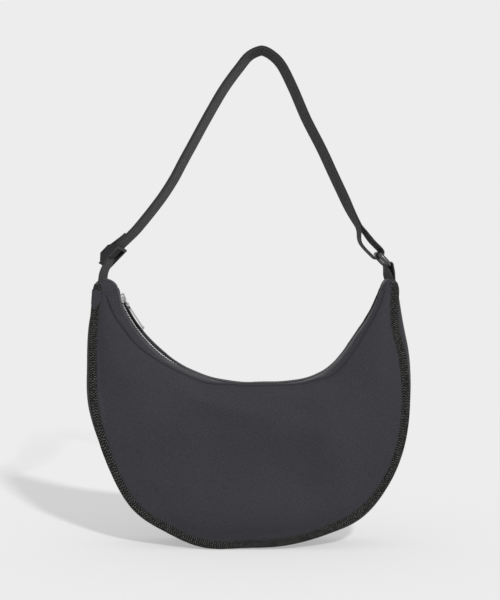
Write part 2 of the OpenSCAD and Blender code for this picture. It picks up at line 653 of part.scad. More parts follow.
module strap_sewn_loop() {
    color([0.2, 0.2, 0.2]) loft([for (j = [0:len(loop_line) - 1]) loop_ring(j)]);
}
module strap_slide() {
    a = slide_l / 2;
    low = end_bar_top - end_bar_t;
    top = pin_h + slide_pin_d / 2;
    color([0.06, 0.06, 0.07]) on_strap(0) {
        for (side = [-1, 1]) {
            translate([0, side * (rail_y + slide_bar / 2) + slide_bar / 2, 0]) rotate([90, 0, 0])
                linear_extrude(slide_bar)
                polygon([[-a, low], [a, low], [a, end_bar_top], [a * 0.45, top], [-a * 0.45, top],
                    [-a, end_bar_top]]);
            translate([side < 0 ? -a : a - slide_bar, -rail_y - slide_bar / 2, low])
                cube([slide_bar, 2 * rail_y + slide_bar, end_bar_t]);
        }
        translate([0, rail_y + slide_bar / 2, pin_h]) rotate([90, 0, 0])
            cylinder(h = 2 * rail_y + slide_bar, d = slide_pin_d, $fn = 40);
    }
}
ring_corner = 3.2;
module strap_ring() {
    out = rail_y + ring_bar_d / 2;
    color([0.06, 0.06, 0.07])
        translate(place(ring_low, 0)) rotate([0, ring_slope, 0]) rotate([-web_lean, 0, 0]) {
            for (x = [-ring_span, 0])
                translate([x, out - ring_corner, 0]) rotate([90, 0, 0])
                    cylinder(h = 2 * (out - ring_corner), d = ring_bar_d, $fn = 40);
            for (side = [-1, 1]) {
                translate([-ring_span + ring_corner, side * out, 0]) rotate([0, 90, 0])
                    cylinder(h = ring_span - 2 * ring_corner, d = ring_bar_d, $fn = 40);
                translate([-ring_corner, side * (out - ring_corner), 0])
                    rotate([0, 0, side > 0 ? 0 : -90]) rotate_extrude(angle = 90, $fn = 48)
                    translate([ring_corner, 0]) circle(d = ring_bar_d, $fn = 40);
                translate([-ring_span + ring_corner, side * (out - ring_corner), 0])
                    rotate([0, 0, side > 0 ? 90 : 180]) rotate_extrude(angle = 90, $fn = 48)
                    translate([ring_corner, 0]) circle(d = ring_bar_d, $fn = 40);
            }
        }
}

front_panel();
rear_panel();
bottom_gusset();
front_binding();
rear_binding();
front_zip_strip();
rear_zip_strip();
front_zip_tape();
rear_zip_tape();
front_zip_teeth();
rear_zip_teeth();
zip_stops();
left_tip();
right_tip();
front_lining();
rear_lining();
gusset_lining();
slip_pocket();
zip_slider();
pull_link();
zip_pull();
strap_tail();
ring_tab();
strap_inner_run();
strap_outer_run();
strap_turn();
strap_sewn_loop();
strap_slide();
strap_ring();
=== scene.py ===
"""A half moon shoulder bag: dressed pieces, finishes and a plain studio."""

import math

import bmesh
import bpy
from mathutils import Matrix, Vector, noise


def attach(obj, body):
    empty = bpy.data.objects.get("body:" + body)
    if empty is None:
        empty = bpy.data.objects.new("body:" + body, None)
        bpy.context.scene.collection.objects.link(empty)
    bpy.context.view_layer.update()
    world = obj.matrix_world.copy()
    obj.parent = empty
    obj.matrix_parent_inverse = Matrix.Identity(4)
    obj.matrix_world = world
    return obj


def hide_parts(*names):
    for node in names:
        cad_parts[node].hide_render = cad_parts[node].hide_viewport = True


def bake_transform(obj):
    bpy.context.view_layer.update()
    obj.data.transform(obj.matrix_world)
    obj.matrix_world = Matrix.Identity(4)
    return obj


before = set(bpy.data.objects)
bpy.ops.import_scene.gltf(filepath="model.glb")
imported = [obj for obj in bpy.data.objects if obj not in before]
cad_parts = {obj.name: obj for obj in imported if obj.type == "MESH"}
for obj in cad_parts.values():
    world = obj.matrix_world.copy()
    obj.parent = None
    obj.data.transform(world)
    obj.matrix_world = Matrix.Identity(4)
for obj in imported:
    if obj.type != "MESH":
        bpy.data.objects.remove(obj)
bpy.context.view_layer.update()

bl_info = {
    "name": "Half Moon Bag",
    "version": (1, 0, 0),
    "blender": (4, 5, 0),
    "location": "View3D > Sidebar > Half Moon Bag",
    "description": "Dresses the half moon bag's frame with cloth, webbing, metal and a studio",
    "category": "Object",
}

MM = 0.001

# The bag's own sizes, in millimetres, as its solids have them
BAG_WIDTH = 340
BODY_HEIGHT = 284
BOTTOM_DEPTH = 66
TOP_DEPTH = 54
TIP_DEPTH = 25
PANEL_DOME = 11
GUSSET_CROWN = 11
SHELL = 1.4
SEWN_GAP = 0.3
ALLOWANCE = 6.2
BINDING = 0.7
BINDING_BACK = SEWN_GAP / 2 + SHELL + SEWN_GAP + BINDING
BINDING_FAR = ALLOWANCE + SEWN_GAP + BINDING
# The zip's arc passes through its two ends and its lowest point
ZIP_X = 1.5
ZIP_LOW_Z = 169
ZIP_REACH = ZIP_X + 0.449 * BAG_WIDTH - 15.3
ZIP_DEPTH = BODY_HEIGHT - 14.1 - ZIP_LOW_Z
ZIP_R = (ZIP_REACH ** 2 + ZIP_DEPTH ** 2) / (2 * ZIP_DEPTH)
ZIP_Z = ZIP_LOW_Z + ZIP_R
ZIP_HALF_ANGLE = math.degrees(2 * math.atan(ZIP_DEPTH / ZIP_REACH))
STRIP_RISE = 16
TAPE_GAP_HALF = 2.1
TAPE_EDGE = 10.4
TAPE = 0.7
STRIP_EDGE = 6.4
TOOTH_PITCH = 3
# Where the zip leaves its circle and its level, in degrees from its lowest point
ZIP_SAG = 8.5
SAG_AT, SAG_BEFORE, SAG_AFTER = 30, 28, 24
ROLL_FROM, ROLL_TO = -71, -30
ROLL_WIDTH, FRONT_DIP, REAR_LIFT = 8, -0.36, 0.2
STANDS_UP = ((0.4, -20, 16), (0.35, 34, 30))
LIP_LIFT = 4.6
LIP_FROM, LIP_TO = -20, 35
SLIDER_ANGLE = math.degrees(8.9 / ZIP_R) - ZIP_HALF_ANGLE
WEB_WIDTH = 22
WEB = 1.4
WEB_GAP = 0.4
WEB_LEAN = 20
SEWN_IN = 6
STRAP_TOP = 521
SLIDE_LENGTH = 26
PIN = 3.2
RING_BAR = 4
RING_SPAN = 17.4
RING_SLOPE = 47
RUNNING_GAP = 0.35
THREAD = 0.55

LAST = 17
SEAM_X = (-0.456, -0.4645, -0.4676, -0.46, -0.414, -0.341, -0.234, -0.128, -0.006,
          0.117, 0.239, 0.337, 0.4116, 0.46, 0.479, 0.4705, 0.445, 0.446)
SEAM_Z = (0.9445, 0.826, 0.678, 0.512, 0.327, 0.168, 0.0813, 0.0314, 0.0314,
          0.0407, 0.083, 0.142, 0.242, 0.375, 0.5305, 0.693, 0.826, 0.952)
UPPER_ANGLE = (-1.005, -0.97, -0.894, -0.808, -0.683, -0.546, -0.408, -0.243, -0.03,
               0.18, 0.35, 0.478, 0.585, 0.675, 0.767, 0.854, 0.932, 1.005)
UPPER_RISE = (0.72, 0.72, 0.71, 0.62, 0.53, 0.31, 0.13, 0.1, 0.1,
              0.12, 0.26, 0.28, 0.26, 0.26, 0.2, 0.18, 0.16, 0.15)
CROWN = (0.35, 0.8, 0.95, 1, 0.75, 0.6, 0.65, 0.9, 0.95,
         1, 1.05, 1.1, 0.9, 0.65, 0.75, 1.0, 1.12, 0.6)
OVER_X = (-0.1836, -0.1327, -0.0787, -0.0355, -0.0046, 0.0355, 0.0694, 0.1019,
          0.1373, 0.1775, 0.2253, 0.2685, 0.3133, 0.348)
OVER_Z = (0.567, 0.7, 0.833, 0.924, 0.977, 1, 0.981, 0.933,
          0.833, 0.7, 0.567, 0.434, 0.301, 0.2127)


# Curves that the pieces follow, in the plane of the front view

def mix(a, b, s):
    return a * (1 - s) + b * s


def clamp(value, low=0.0, high=1.0):
    return max(low, min(high, value))


def smooth(value):
    s = clamp(value)
    return s * s * (3 - 2 * s)


def hump(value, middle, half_width):
    """1 at the middle, falling smoothly to 0 at half_width on either side."""
    return smooth(1 - abs(value - middle) / half_width)


def at(table, k):
    """A smooth curve through the values of a table, read at station k."""
    n = len(table) - 1
    i = min(int(math.floor(k)), n - 1)
    s = k - i
    a, b = table[max(i - 1, 0)], table[i]
    c, d = table[i + 1], table[min(i + 2, n)]
    return b + (c - a + (a * 2 - b * 5 + c * 4 - d + ((b - c) * 3 + d - a) * s) * s) * (s / 2)


def left_of(t):
    return Vector((-t.y, t.x))


def ray(degrees):
    a = math.radians(degrees)
    return Vector((math.sin(a), -math.cos(a)))


def place(p, y):
    """A point [x, z] of the front view at depth y, in metres."""
    return Vector((p.x, y, p.y)) * MM


def fullness(k):
    return math.sin(math.pi * clamp(k / LAST)) ** 0.8


def seam(k):
    return Vector((at(SEAM_X, k) * BAG_WIDTH, at(SEAM_Z, k) * BODY_HEIGHT))


def seam_out(k):
    t = (seam(min(k + 0.02, LAST)) - seam(max(k - 0.02, 0))).normalized()
    return Vector((t.y, -t.x))


def upper_angle(k):
    return at(UPPER_ANGLE, k) * ZIP_HALF_ANGLE


def zip_sag(degrees):
    """How far the zip hangs below its circle where the mouth droops."""
    return ZIP_SAG * hump(degrees, SAG_AT, SAG_BEFORE if degrees < SAG_AT else SAG_AFTER)


def zip_roll(degrees, y):
    """How far the cloth beside the chain moves out of the zip's level, at depth y.

    It dips in front and lifts behind where the zip rolls over, and the other way round where
    it stands up and hides the teeth.
    """
    turned = smooth((degrees - ROLL_FROM) / 6) * smooth((ROLL_TO - degrees) / 10)
    for share, middle, half_width in STANDS_UP:
        turned -= share * hump(degrees, middle, half_width)
    reach = clamp(abs(y) - TAPE_GAP_HALF, 0, ROLL_WIDTH)
    return turned * reach * (REAR_LIFT if y > 0 else FRONT_DIP)


def rise(k):
    return at(UPPER_RISE, k) * STRIP_RISE


def lip_lift(k, side):
    """How far the front panel's upper edge stands up, where it hides the strip behind it."""
    if side > 0:
        return 0
    a = upper_angle(k)
    return LIP_LIFT * smooth((a - LIP_FROM) / 14) * smooth((LIP_TO - a) / 9)


def upper(k, side=1):
    a = upper_angle(k)
    return Vector((ZIP_X, ZIP_Z)) + ray(a) * (ZIP_R + rise(k) + zip_sag(a) - lip_lift(k, side))


def bottom_half(k):
    return mix(TIP_DEPTH, BOTTOM_DEPTH, fullness(k)) / 2


def top_half(k):
    return mix(TIP_DEPTH, TOP_DEPTH, fullness(k)) / 2


def crown(k):
    return at(CROWN, k) * GUSSET_CROWN


def zip_point(degrees, out, y):
    """A point of the zip's curve, out towards the curve's centre."""
    return place(Vector((ZIP_X, ZIP_Z)) + ray(degrees) * (ZIP_R + zip_sag(degrees) - out), y)


# The strap's line, and where its webbing lies

SLIDE_AT = Vector((-0.4259 * BAG_WIDTH, BODY_HEIGHT + 24))
ARC_R = 600
ARC_START = 46
ARC_END = 55.9
ARC_CENTRE = SLIDE_AT - ray(ARC_START) * ARC_R
ARC_LENGTH = math.radians(ARC_END - ARC_START) * ARC_R
LEFT_SEAM = Vector((-0.449 * BAG_WIDTH, BODY_HEIGHT))
RIGHT_SEAM = Vector((0.4414 * BAG_WIDTH, BODY_HEIGHT + 1))
RING_ALONG = Vector((math.cos(math.radians(RING_SLOPE)), -math.sin(math.radians(RING_SLOPE))))
RING_OUT = left_of(RING_ALONG)
RING_LOW = RIGHT_SEAM + Vector((-2.4, 11))
RING_HIGH = RING_LOW - RING_ALONG * RING_SPAN
TURN_R = 5.5
LAYER = (WEB + WEB_GAP) / 2
PIN_OUT = WEB_GAP / 2 + WEB + 0.2 + PIN / 2
LOOP_R = PIN / 2 + 0.2 + WEB / 2
LAP_LENGTH = 28
LAP_OUT = LAYER + WEB + WEB_GAP / 2
RUN_START = -SLIDE_LENGTH / 2 - 2
# Where the tail's end lies along the arc, then the ring's half width, its lean and how near
# to it the webbing turns edge on
TAIL_MEETS = -5
RING_RAIL = 14.8
RING_LEAN = 8
NEAR_RING = 70
SLIDE_DRIFT = 2
# How far right the left limb moves, and the height where each move starts and its length
LEFT_MOVES = ((SLIDE_DRIFT, 2, 16), (2.6, 28, 24), (-2.4, 80, 45), (1.6, 190, 40))
STRAP_MIDDLE = 0.04 * BAG_WIDTH
TAB_R = RING_BAR / 2 + RUNNING_GAP + WEB / 2
TAB_TURN = math.degrees(math.asin((RIGHT_SEAM - RING_LOW).normalized().dot(RING_OUT)))


def arc_angle(x):
    return ARC_START + math.degrees(x / ARC_R)


def arc_mid(x):
    return ARC_CENTRE + ray(arc_angle(x)) * ARC_R


def arc_out(x):
    return -ray(arc_angle(x))


OVER = ([arc_mid(ARC_LENGTH * 0.7), arc_mid(ARC_LENGTH)]
        + [Vector((x * BAG_WIDTH, BODY_HEIGHT + z * (STRAP_TOP - BODY_HEIGHT)))
           for x, z in zip(OVER_X, OVER_Z)]
        + [RING_HIGH - RING_ALONG * RING_SPAN, RING_HIGH, RING_LOW])
OVER_LAST = len(OVER) - 2
# The height below which the strap's two layers part towards the ring
PART_Z = 338


def over_mid(k):
    return at(OVER, k)


def over_out(k):
    return left_of((over_mid(k + 0.02) - over_mid(k - 0.02)).normalized())


def spread(k):
    """How far each layer lies from the strap's line: together above, apart near the ring."""
    return mix(LAYER, TURN_R, smooth((PART_Z - over_mid(k).y) / 17) ** 0.8)


def web_lean(m, h):
    """How far the webbing leans out of the level: less near the ring, where its edge is seen."""
    near = (smooth((NEAR_RING - (m - RING_HIGH).length) / 45)
            * smooth((m.y - RING_LOW.y + 10) / 12))
    return math.radians(mix(WEB_LEAN, mix(6, 14, clamp(h / TURN_R / 2 + 0.5)), near))


def drift(m):
    """How far right of its solids' line the strap lies at a height above the slide."""
    z = m.y - BODY_HEIGHT
    if m.x > STRAP_MIDDLE:
        return smooth((z - 50) / 40)
    moved = sum(move * smooth((z - start) / length) for move, start, length in LEFT_MOVES)
    return moved * smooth((STRAP_MIDDLE - m.x) / 12 + 0.6)


def web_point(m, n, h, w):
    """A point of the webbing: m on the strap's line, n out of the loop, h over it, w across."""
    lean = web_lean(m, h)
    c, s = math.cos(lean), math.sin(lean)
    return place(m + n * (h * c - w * s) + Vector((drift(m), 0)), h * s + w * c)


# Modelling

def deselect_all():
    if bpy.context.object and bpy.context.object.mode != "OBJECT":
        bpy.ops.object.mode_set(mode="OBJECT")
    bpy.ops.object.select_all(action="DESELECT")


def only(piece):
    deselect_all()
    piece.select_set(True)
    bpy.context.view_layer.objects.active = piece


def named(name):
    piece = bpy.context.object
    piece.name = name
    piece.data.name = name
    return piece


def cloth(name, columns, rows, point, size=(1, 1)):
    """A grid laid over the surface point(s, t); its UV map is in metres of size."""
    deselect_all()
    bpy.ops.mesh.primitive_grid_add(x_subdivisions=columns, y_subdivisions=rows, size=1)
    piece = named(name)
    shares = [(v.co.x + 0.5, v.co.y + 0.5) for v in piece.data.vertices]
    for v, (s, t) in zip(piece.data.vertices, shares):
        v.co = point(s, t)
    layer = piece.data.uv_layers.active.data
    for loop in piece.data.loops:
        s, t = shares[loop.vertex_index]
        layer[loop.index].uv = (s * size[0], t * size[1])
    return piece


def modified(piece, kind, **settings):
    """Adds a modifier, sets it and applies it."""
    only(piece)
    modifier = piece.modifiers.new(kind.title(), kind)
    for key, value in settings.items():
        setattr(modifier, key, value)
    bpy.ops.object.modifier_apply(modifier=modifier.name)
    return piece


def in_edit(piece, *steps):
    """Runs mesh operators on the whole piece."""
    only(piece)
    bpy.ops.object.mode_set(mode="EDIT")
    bpy.ops.mesh.select_all(action="SELECT")
    for step, settings in steps:
        step(**settings)
    bpy.ops.object.mode_set(mode="OBJECT")
    return piece


def welded(piece):
    return in_edit(piece, (bpy.ops.mesh.remove_doubles, {"threshold": 2e-5}),
                   (bpy.ops.mesh.normals_make_consistent, {"inside": False}))


def smoothed(piece, degrees=50):
    only(piece)
    bpy.ops.object.shade_smooth_by_angle(angle=math.radians(degrees))
    return piece


def bevelled(piece, width, segments, degrees):
    return modified(piece, "BEVEL", width=width * MM, segments=segments, limit_method="ANGLE",
                    angle_limit=math.radians(degrees))


def sheet(name, grid, point, size=(1, 1), thick=SHELL, offset=-1, turned=False):
    """Cloth with a thickness in millimetres; turned swaps its faces before it thickens."""
    piece = cloth(name, *grid, point, size)
    if turned:
        in_edit(piece, (bpy.ops.mesh.flip_normals, {}))
    return modified(piece, "SOLIDIFY", thickness=thick * MM, offset=offset)


def repeated(first, places):
    """Puts a copy of a piece's mesh at each of the places, all in that one piece."""
    mesh = bmesh.new()
    for spot in places:
        copy = first.data.copy()
        copy.transform(spot)
        if spot.determinant() < 0:
            copy.flip_normals()
        mesh.from_mesh(copy)
        bpy.data.meshes.remove(copy)
    mesh.to_mesh(first.data)
    mesh.free()
    only(first)


def standing(origin, x, y, z):
    """The place of a copy whose own axes lie along x, y and z."""
    return Matrix.Translation(origin) @ Matrix((x, y, z)).transposed().to_4x4()


def finished(piece, finish, slot, *nodes):
    """Gives a piece its finish and hides the solids that it stands for."""
    piece.data.materials.clear()
    piece.data.materials.append(finish)
    if nodes:
        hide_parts(*nodes)


def dress(piece, body, finish, slot, *nodes):
    """Puts a piece on its body with its finish, in place of the solids it stands for."""
    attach(piece, body)
    finished(piece, finish, slot, *nodes)


def strip_of_web(name, samples, columns):
    """Webbing through samples of its middle, outward normal and height."""
    line, length = even_line(samples)

    def point(s, t):
        m, n, h = line(s)
        return web_point(m, n, h, (t - 0.5) * WEB_WIDTH)
    piece = sheet(name, (columns, 6), point, (length * MM, WEB_WIDTH * MM), WEB, 0)
    return smoothed(bevelled(piece, 0.35, 2, 50))


def stitch_row(name, spots, length):
    """A row of thread stitches; each spot is a middle, a direction and an up vector."""
    deselect_all()
    bpy.ops.mesh.primitive_cylinder_add(vertices=6, radius=THREAD / 2 * MM, depth=length * MM)
    first = bpy.context.object
    in_edit(first, (bpy.ops.mesh.subdivide, {"number_cuts": 1}))
    for v in first.data.vertices:
        share = abs(v.co.z) / (length / 2 * MM)
        v.co.x *= 1 - 0.55 * share ** 3
        v.co.y *= 1 - 0.55 * share ** 3
    places = []
    for middle, along, up in spots:
        along = along.normalized()
        side = up.cross(along).normalized()
        places.append(standing(middle, side, along.cross(side), along))
    repeated(first, places)
    return smoothed(named(name), 60)


# Surfaces of the cloth pieces

# Soft folds of the panels: two ends in the front view, half width and depth, in millimetres
FRONT_FOLDS = (
    ((-95, 98, 78, 94), 34, -6.6), ((-78, 34, 96, 36), 26, 4.6), ((84, 150, 94, 70), 22, 3.4),
    ((-74, 168, 24, 137), 13, 3.2), ((52, 162, 90, 160), 11, 2.4),
    ((-152, 204, -124, 118), 22, -4.6),
    ((-84, 24, -56, 16), 9, 1.4), ((132, 210, 150, 150), 13, 1.3))
REAR_FOLDS = (
    ((70, 102, -90, 92), 32, -5.2), ((74, 36, -80, 34), 26, 4), ((40, 160, -30, 134), 13, 2.5),
    ((-100, 176, -126, 100), 16, -2.2), ((138, 204, 112, 124), 18, -3),
    ((-78, 140, -90, 74), 20, 2.6))


def fold_depth(p, folds):
    """How far the folds move the cloth outwards at a point of the front view."""
    total = 0
    for (x0, z0, x1, z1), width, depth in folds:
        start, along = Vector((x0, z0)), Vector((x1 - x0, z1 - z0))
        share = clamp((p - start).dot(along) / along.length_squared)
        reach = (p - start - along * share).length / width
        total += depth * math.exp(-reach * reach) * (0.35 + 0.65 * math.sin(math.pi * share))
    return total


def folds_of(side):
    return FRONT_FOLDS if side < 0 else REAR_FOLDS


def unevenness(p, seed, size, depth):
    return depth * noise.noise(Vector((p.x / size, p.y / size, seed)))


PANEL_PART = 0.93
EDGE_ROLL = 1.3


def rolled(distance):
    """How far an edge turns in, at a distance from it."""
    return EDGE_ROLL * (1 - clamp(distance / EDGE_ROLL) ** 2) ** 0.5 if distance < EDGE_ROLL else 0


def panel_depth(k, v):
    return (mix(top_half(k), bottom_half(k), v)
            + PANEL_DOME * fullness(k) * math.sin(math.pi * v ** 0.85))


def panel_surface(side, look):
    folds = folds_of(side)
    seed = 3.7 if side < 0 else 11.2

    def point(s, t):
        k = s * LAST
        v = clamp(t / PANEL_PART)
        foot, head = seam(k), upper(k, side)
        p = head.lerp(foot, v)
        if t > PANEL_PART:
            p = foot + seam_out(k) * ALLOWANCE * (t - PANEL_PART) / (1 - PANEL_PART)
        tall = (foot - head).length
        free = smooth(min(v, 1 - v) * tall / 18)
        pucker = math.exp(-(1 - v) * tall / 6) * (t < PANEL_PART)
        y = panel_depth(k, v) + SEWN_GAP / 2 + SHELL
        y += free * look.fold_depth * (fold_depth(p, folds) + unevenness(p, seed, 46, 1.3)
                                       + unevenness(p, seed + 5, 17, 0.35))
        y += pucker * look.pucker * math.sin(k * 61 + 2 * noise.noise(Vector((k * 3, seed, 0))))
        return place(p, side * (y - rolled(v * tall)))
    return point


def swell(k, across):
    """How far the gusset swells at a share of its width, flatter in the middle of the bag."""
    return crown(k) * (1 - abs(across) ** (2.4 + 3 * fullness(k) ** 4))


def gusset_surface(look):
    def point(s, t):
        k = s * LAST
        half = bottom_half(k)
        across = 2 * t - 1
        bulge = math.sin(across * math.pi / 2)
        inner = half - BINDING_BACK - SEWN_GAP
        r = SEWN_GAP + swell(k, bulge)
        near = 1 - abs(bulge)
        r += look.pucker * 0.8 * math.exp(-near * 9) * math.sin(k * 52 + 3 * (across > 0))
        r += smooth(near * 5) * unevenness(Vector((k * 20, across * 30)), 7.7, 22, 0.5)
        if abs(across) > 0.94:
            r = mix(r, ALLOWANCE, smooth((abs(across) - 0.94) / 0.06))
        p = seam(k) + seam_out(k) * r
        y = bulge * inner
        if abs(across) > 0.9:
            edge = mix(inner, half - SEWN_GAP / 2 - SHELL, smooth((abs(across) - 0.9) / 0.1))
            y = math.copysign(edge, y)
        spot = place(p, y)
        spot.z = max(spot.z, 0)
        return spot
    return point


def rounded_u(share, start, far, back, corner):
    """A folded tape's section: from one edge over the fold to the other, as (outwards, across)."""
    straight, across = far - corner - start, 2 * (back - corner)
    arc = math.pi / 2 * corner
    runs = (straight, arc, across, arc, straight)
    x = share * sum(runs)
    if x < runs[0]:
        return start + x, back
    x -= runs[0]
    if x < runs[1]:
        a = x / corner
        return far - corner + corner * math.sin(a), back - corner + corner * math.cos(a)
    x -= runs[1]
    if x < runs[2]:
        return far, back - corner - x
    x -= runs[2]
    if x < runs[3]:
        a = x / corner
        return far - corner + corner * math.cos(a), -back + corner - corner * math.sin(a)
    return far - corner - (x - runs[3]), -back


TAPE_TURN = 21
BINDING_RISE = 0.27
# From station 0 of the seam to station 1
FIRST_SEAM_STEP = 33.6
TIP_DOWN = 16
TIP_UP = 12.5


def binding_surface(side, look):
    start = -1.4

    def point(s, t):
        x = mix(-BINDING_RISE, LAST + BINDING_RISE, s)
        k = clamp(x, 0, LAST)
        past = abs(x - k) / BINDING_RISE
        wave = 0.28 * look.pucker * math.sin(k * 47 + 1.7 * side) + 0.2 * math.sin(k * 19)
        out, across = rounded_u(t, start, BINDING_FAR, BINDING_BACK, 1.9)
        puff = 0.35 * math.sin(math.pi * clamp((out - start) / (BINDING_FAR - start)))
        across = math.copysign(abs(across) + puff, across) + wave
        inward = math.copysign(1, LAST / 2 - k)
        end = Vector((1.9 * inward * past * past, 9 * past))
        spot = place(seam(k) + seam_out(k) * out + end,
                     side * (bottom_half(k) - 1.6 * past * past + across))
        spot.z = max(spot.z, 0)
        return spot
    return point


def end_fold_surface(side):
    """A folded scrap of the cloth over the binding's left end, pointed at its lower edge."""
    def point(s, t):
        out, across = rounded_u(t, -2.2, BINDING_FAR + 0.5, BINDING_BACK + 0.9, 2.3)
        low = 9 + 9 * (1 - abs(2 * ((t * 2) % 1) - 1))
        k = s * low / FIRST_SEAM_STEP
        p = seam(0).lerp(seam(1), clamp(k))
        p += seam_out(0) * out + Vector((0, 3 * (1 - s)))
        return place(p, side * (bottom_half(k) + across + 0.3))
    return point


def strip_surface(side, look):
    def point(s, t):
        k = s * LAST
        a = upper_angle(k)
        wall = top_half(k) + SEWN_GAP / 2 + SHELL / 2
        top = rise(k) - lip_lift(k, side) + SEWN_GAP + SHELL / 2
        roll = zip_roll(a, side * TAPE_EDGE)
        foot, b = Vector((0.1, wall)), Vector((max(top, 2 * SHELL), wall))
        c = Vector((top + roll, TAPE_EDGE + SHELL))
        if t < 0.72:
            u = t / 0.72
            q = foot * (1 - u) ** 2 + b * 2 * u * (1 - u) + c * u * u
        else:
            edge = Vector((top + zip_roll(a, side * STRIP_EDGE), STRIP_EDGE))
            q = c.lerp(edge, (t - 0.72) / 0.28)
        away = (q - foot).length
        loose = smooth(away / 4) * smooth((q.y - STRIP_EDGE) / 6)
        soft = unevenness(Vector((k * 22, q.y)), 21 + side, 15, 0.7) * look.fold_depth
        y = q.y + loose * soft - rolled(away + 0.3)
        return place(upper(k, side) - ray(a) * (q.x + loose * soft * 0.5), side * y)
    return point


def tip_surface(side):
    """The end of the bag: a soft dome round the webbing's seam that runs down inside the panels."""
    k = 0 if side > 0 else LAST
    outer = seam(k) + seam_out(k) * ALLOWANCE
    inner = Vector((ZIP_X, ZIP_Z)) + ray(upper_angle(k)) * (ZIP_R - SEWN_GAP - SHELL)
    middle, half = (outer + inner) / 2, (inner - outer) / 2
    wide = TIP_DEPTH / 2 + SEWN_GAP / 2 + SHELL

    def point(s, t):
        angle = 2 * math.pi * s
        x = math.copysign(abs(math.cos(angle)) ** 0.8, math.cos(angle))
        y = math.copysign(abs(math.sin(angle)) ** 0.6, math.sin(angle))
        if t < 0.4:
            u = 1 - t / 0.4
            narrow = 1 - 0.42 * u
            closed = 1 - 0.9 * smooth((u - 0.9) * 10)
            p = middle + half * x * narrow * closed - Vector((0, TIP_DOWN * u))
            depth = (wide + 1.1 + 1.2 * u * (1 - 2 * u)) * closed
        else:
            u = math.sin((t - 0.4) / 0.6 * math.pi / 2)
            p = middle + half * (x * (1 - u ** 2) ** 0.5 - 0.22 * u) + Vector((0, TIP_UP * u))
            depth = (wide + 1.1) * (1 - 0.14 * u) * (1 - u ** 7) ** (1 / 5)
        crease = 0.5 * math.sin(3 * angle + 4 * t) * smooth(t * 3 - 1.2) * smooth((1 - t) * 5)
        p.x += crease
        return place(p, y * (depth + 0.6 * crease))
    return point


# The stations that the linings and the pocket reach, along the seam
LINED = (1.2, 16.2)
POCKETED = (6.07, 10.52)


def lining_share(k, s):
    """Where the lining lies on the panel's height, 3 mm inside both seams."""
    tall = (seam(k) - upper(k)).length
    return mix(3, tall - 3, s) / tall


def lining_surface(side, look):
    folds = folds_of(side)

    def point(s, t):
        k = mix(*LINED, s)
        v = lining_share(k, t)
        p = upper(k).lerp(seam(k), v)
        y = panel_depth(k, v) - 2.9 * fullness(k) - abs(unevenness(p, 31 + side, 24, 1.2))
        y += min(0, look.fold_depth * fold_depth(p, folds))
        return place(p, side * y)
    return point


def gusset_lining_surface(s, t):
    k = mix(*LINED, s)
    half = bottom_half(k) - (SEWN_GAP + SHELL + SEWN_GAP + BINDING) - 1
    across = math.sin((2 * t - 1) * math.pi / 2)
    r = swell(k, across) - SHELL - 2 * SEWN_GAP
    spot = place(seam(k) + seam_out(k) * r, across * half)
    spot.z = max(spot.z, (SHELL + 2 * SEWN_GAP) * MM)
    return spot


def pocket_surface(s, t, look):
    k = mix(*POCKETED, s)
    v = lining_share(k, mix(0.2, 0.8, t))
    p = upper(k).lerp(seam(k), v)
    y = panel_depth(k, v) - 5.2 - 0.5 * math.sin(math.pi * s) * (1 - t)
    y += min(0, look.fold_depth * fold_depth(p, REAR_FOLDS))
    return place(p, y)


# Finishes

class Value:
    """A number that changes over a surface. Its operators add the Math nodes that work it out."""

    def __init__(self, finish, socket):
        self.finish, self.socket = finish, socket

    def maths(self, operation, *others):
        node = self.finish.node("ShaderNodeMath", {"operation": operation},
                                *[getattr(o, "socket", o) for o in (self, *others)])
        return Value(self.finish, node.outputs[0])

    def __add__(self, other):
        return self.maths("ADD", other)

    def __sub__(self, other):
        return self.maths("SUBTRACT", other)

    def __mul__(self, other):
        return self.maths("MULTIPLY", other)

    def __rsub__(self, other):
        return (self * -1) + other

    def sine(self):
        return self.maths("SINE")

    def size(self):
        return self.maths("ABSOLUTE")

    def part(self):
        return self.maths("FRACT")

    def power(self, other):
        return self.maths("POWER", other)

    def step(self, low, high):
        node = self.finish.node("ShaderNodeMapRange", {"interpolation_type": "SMOOTHSTEP"},
                                self.socket, low, high, 0.0, 1.0)
        return Value(self.finish, node.outputs[0])


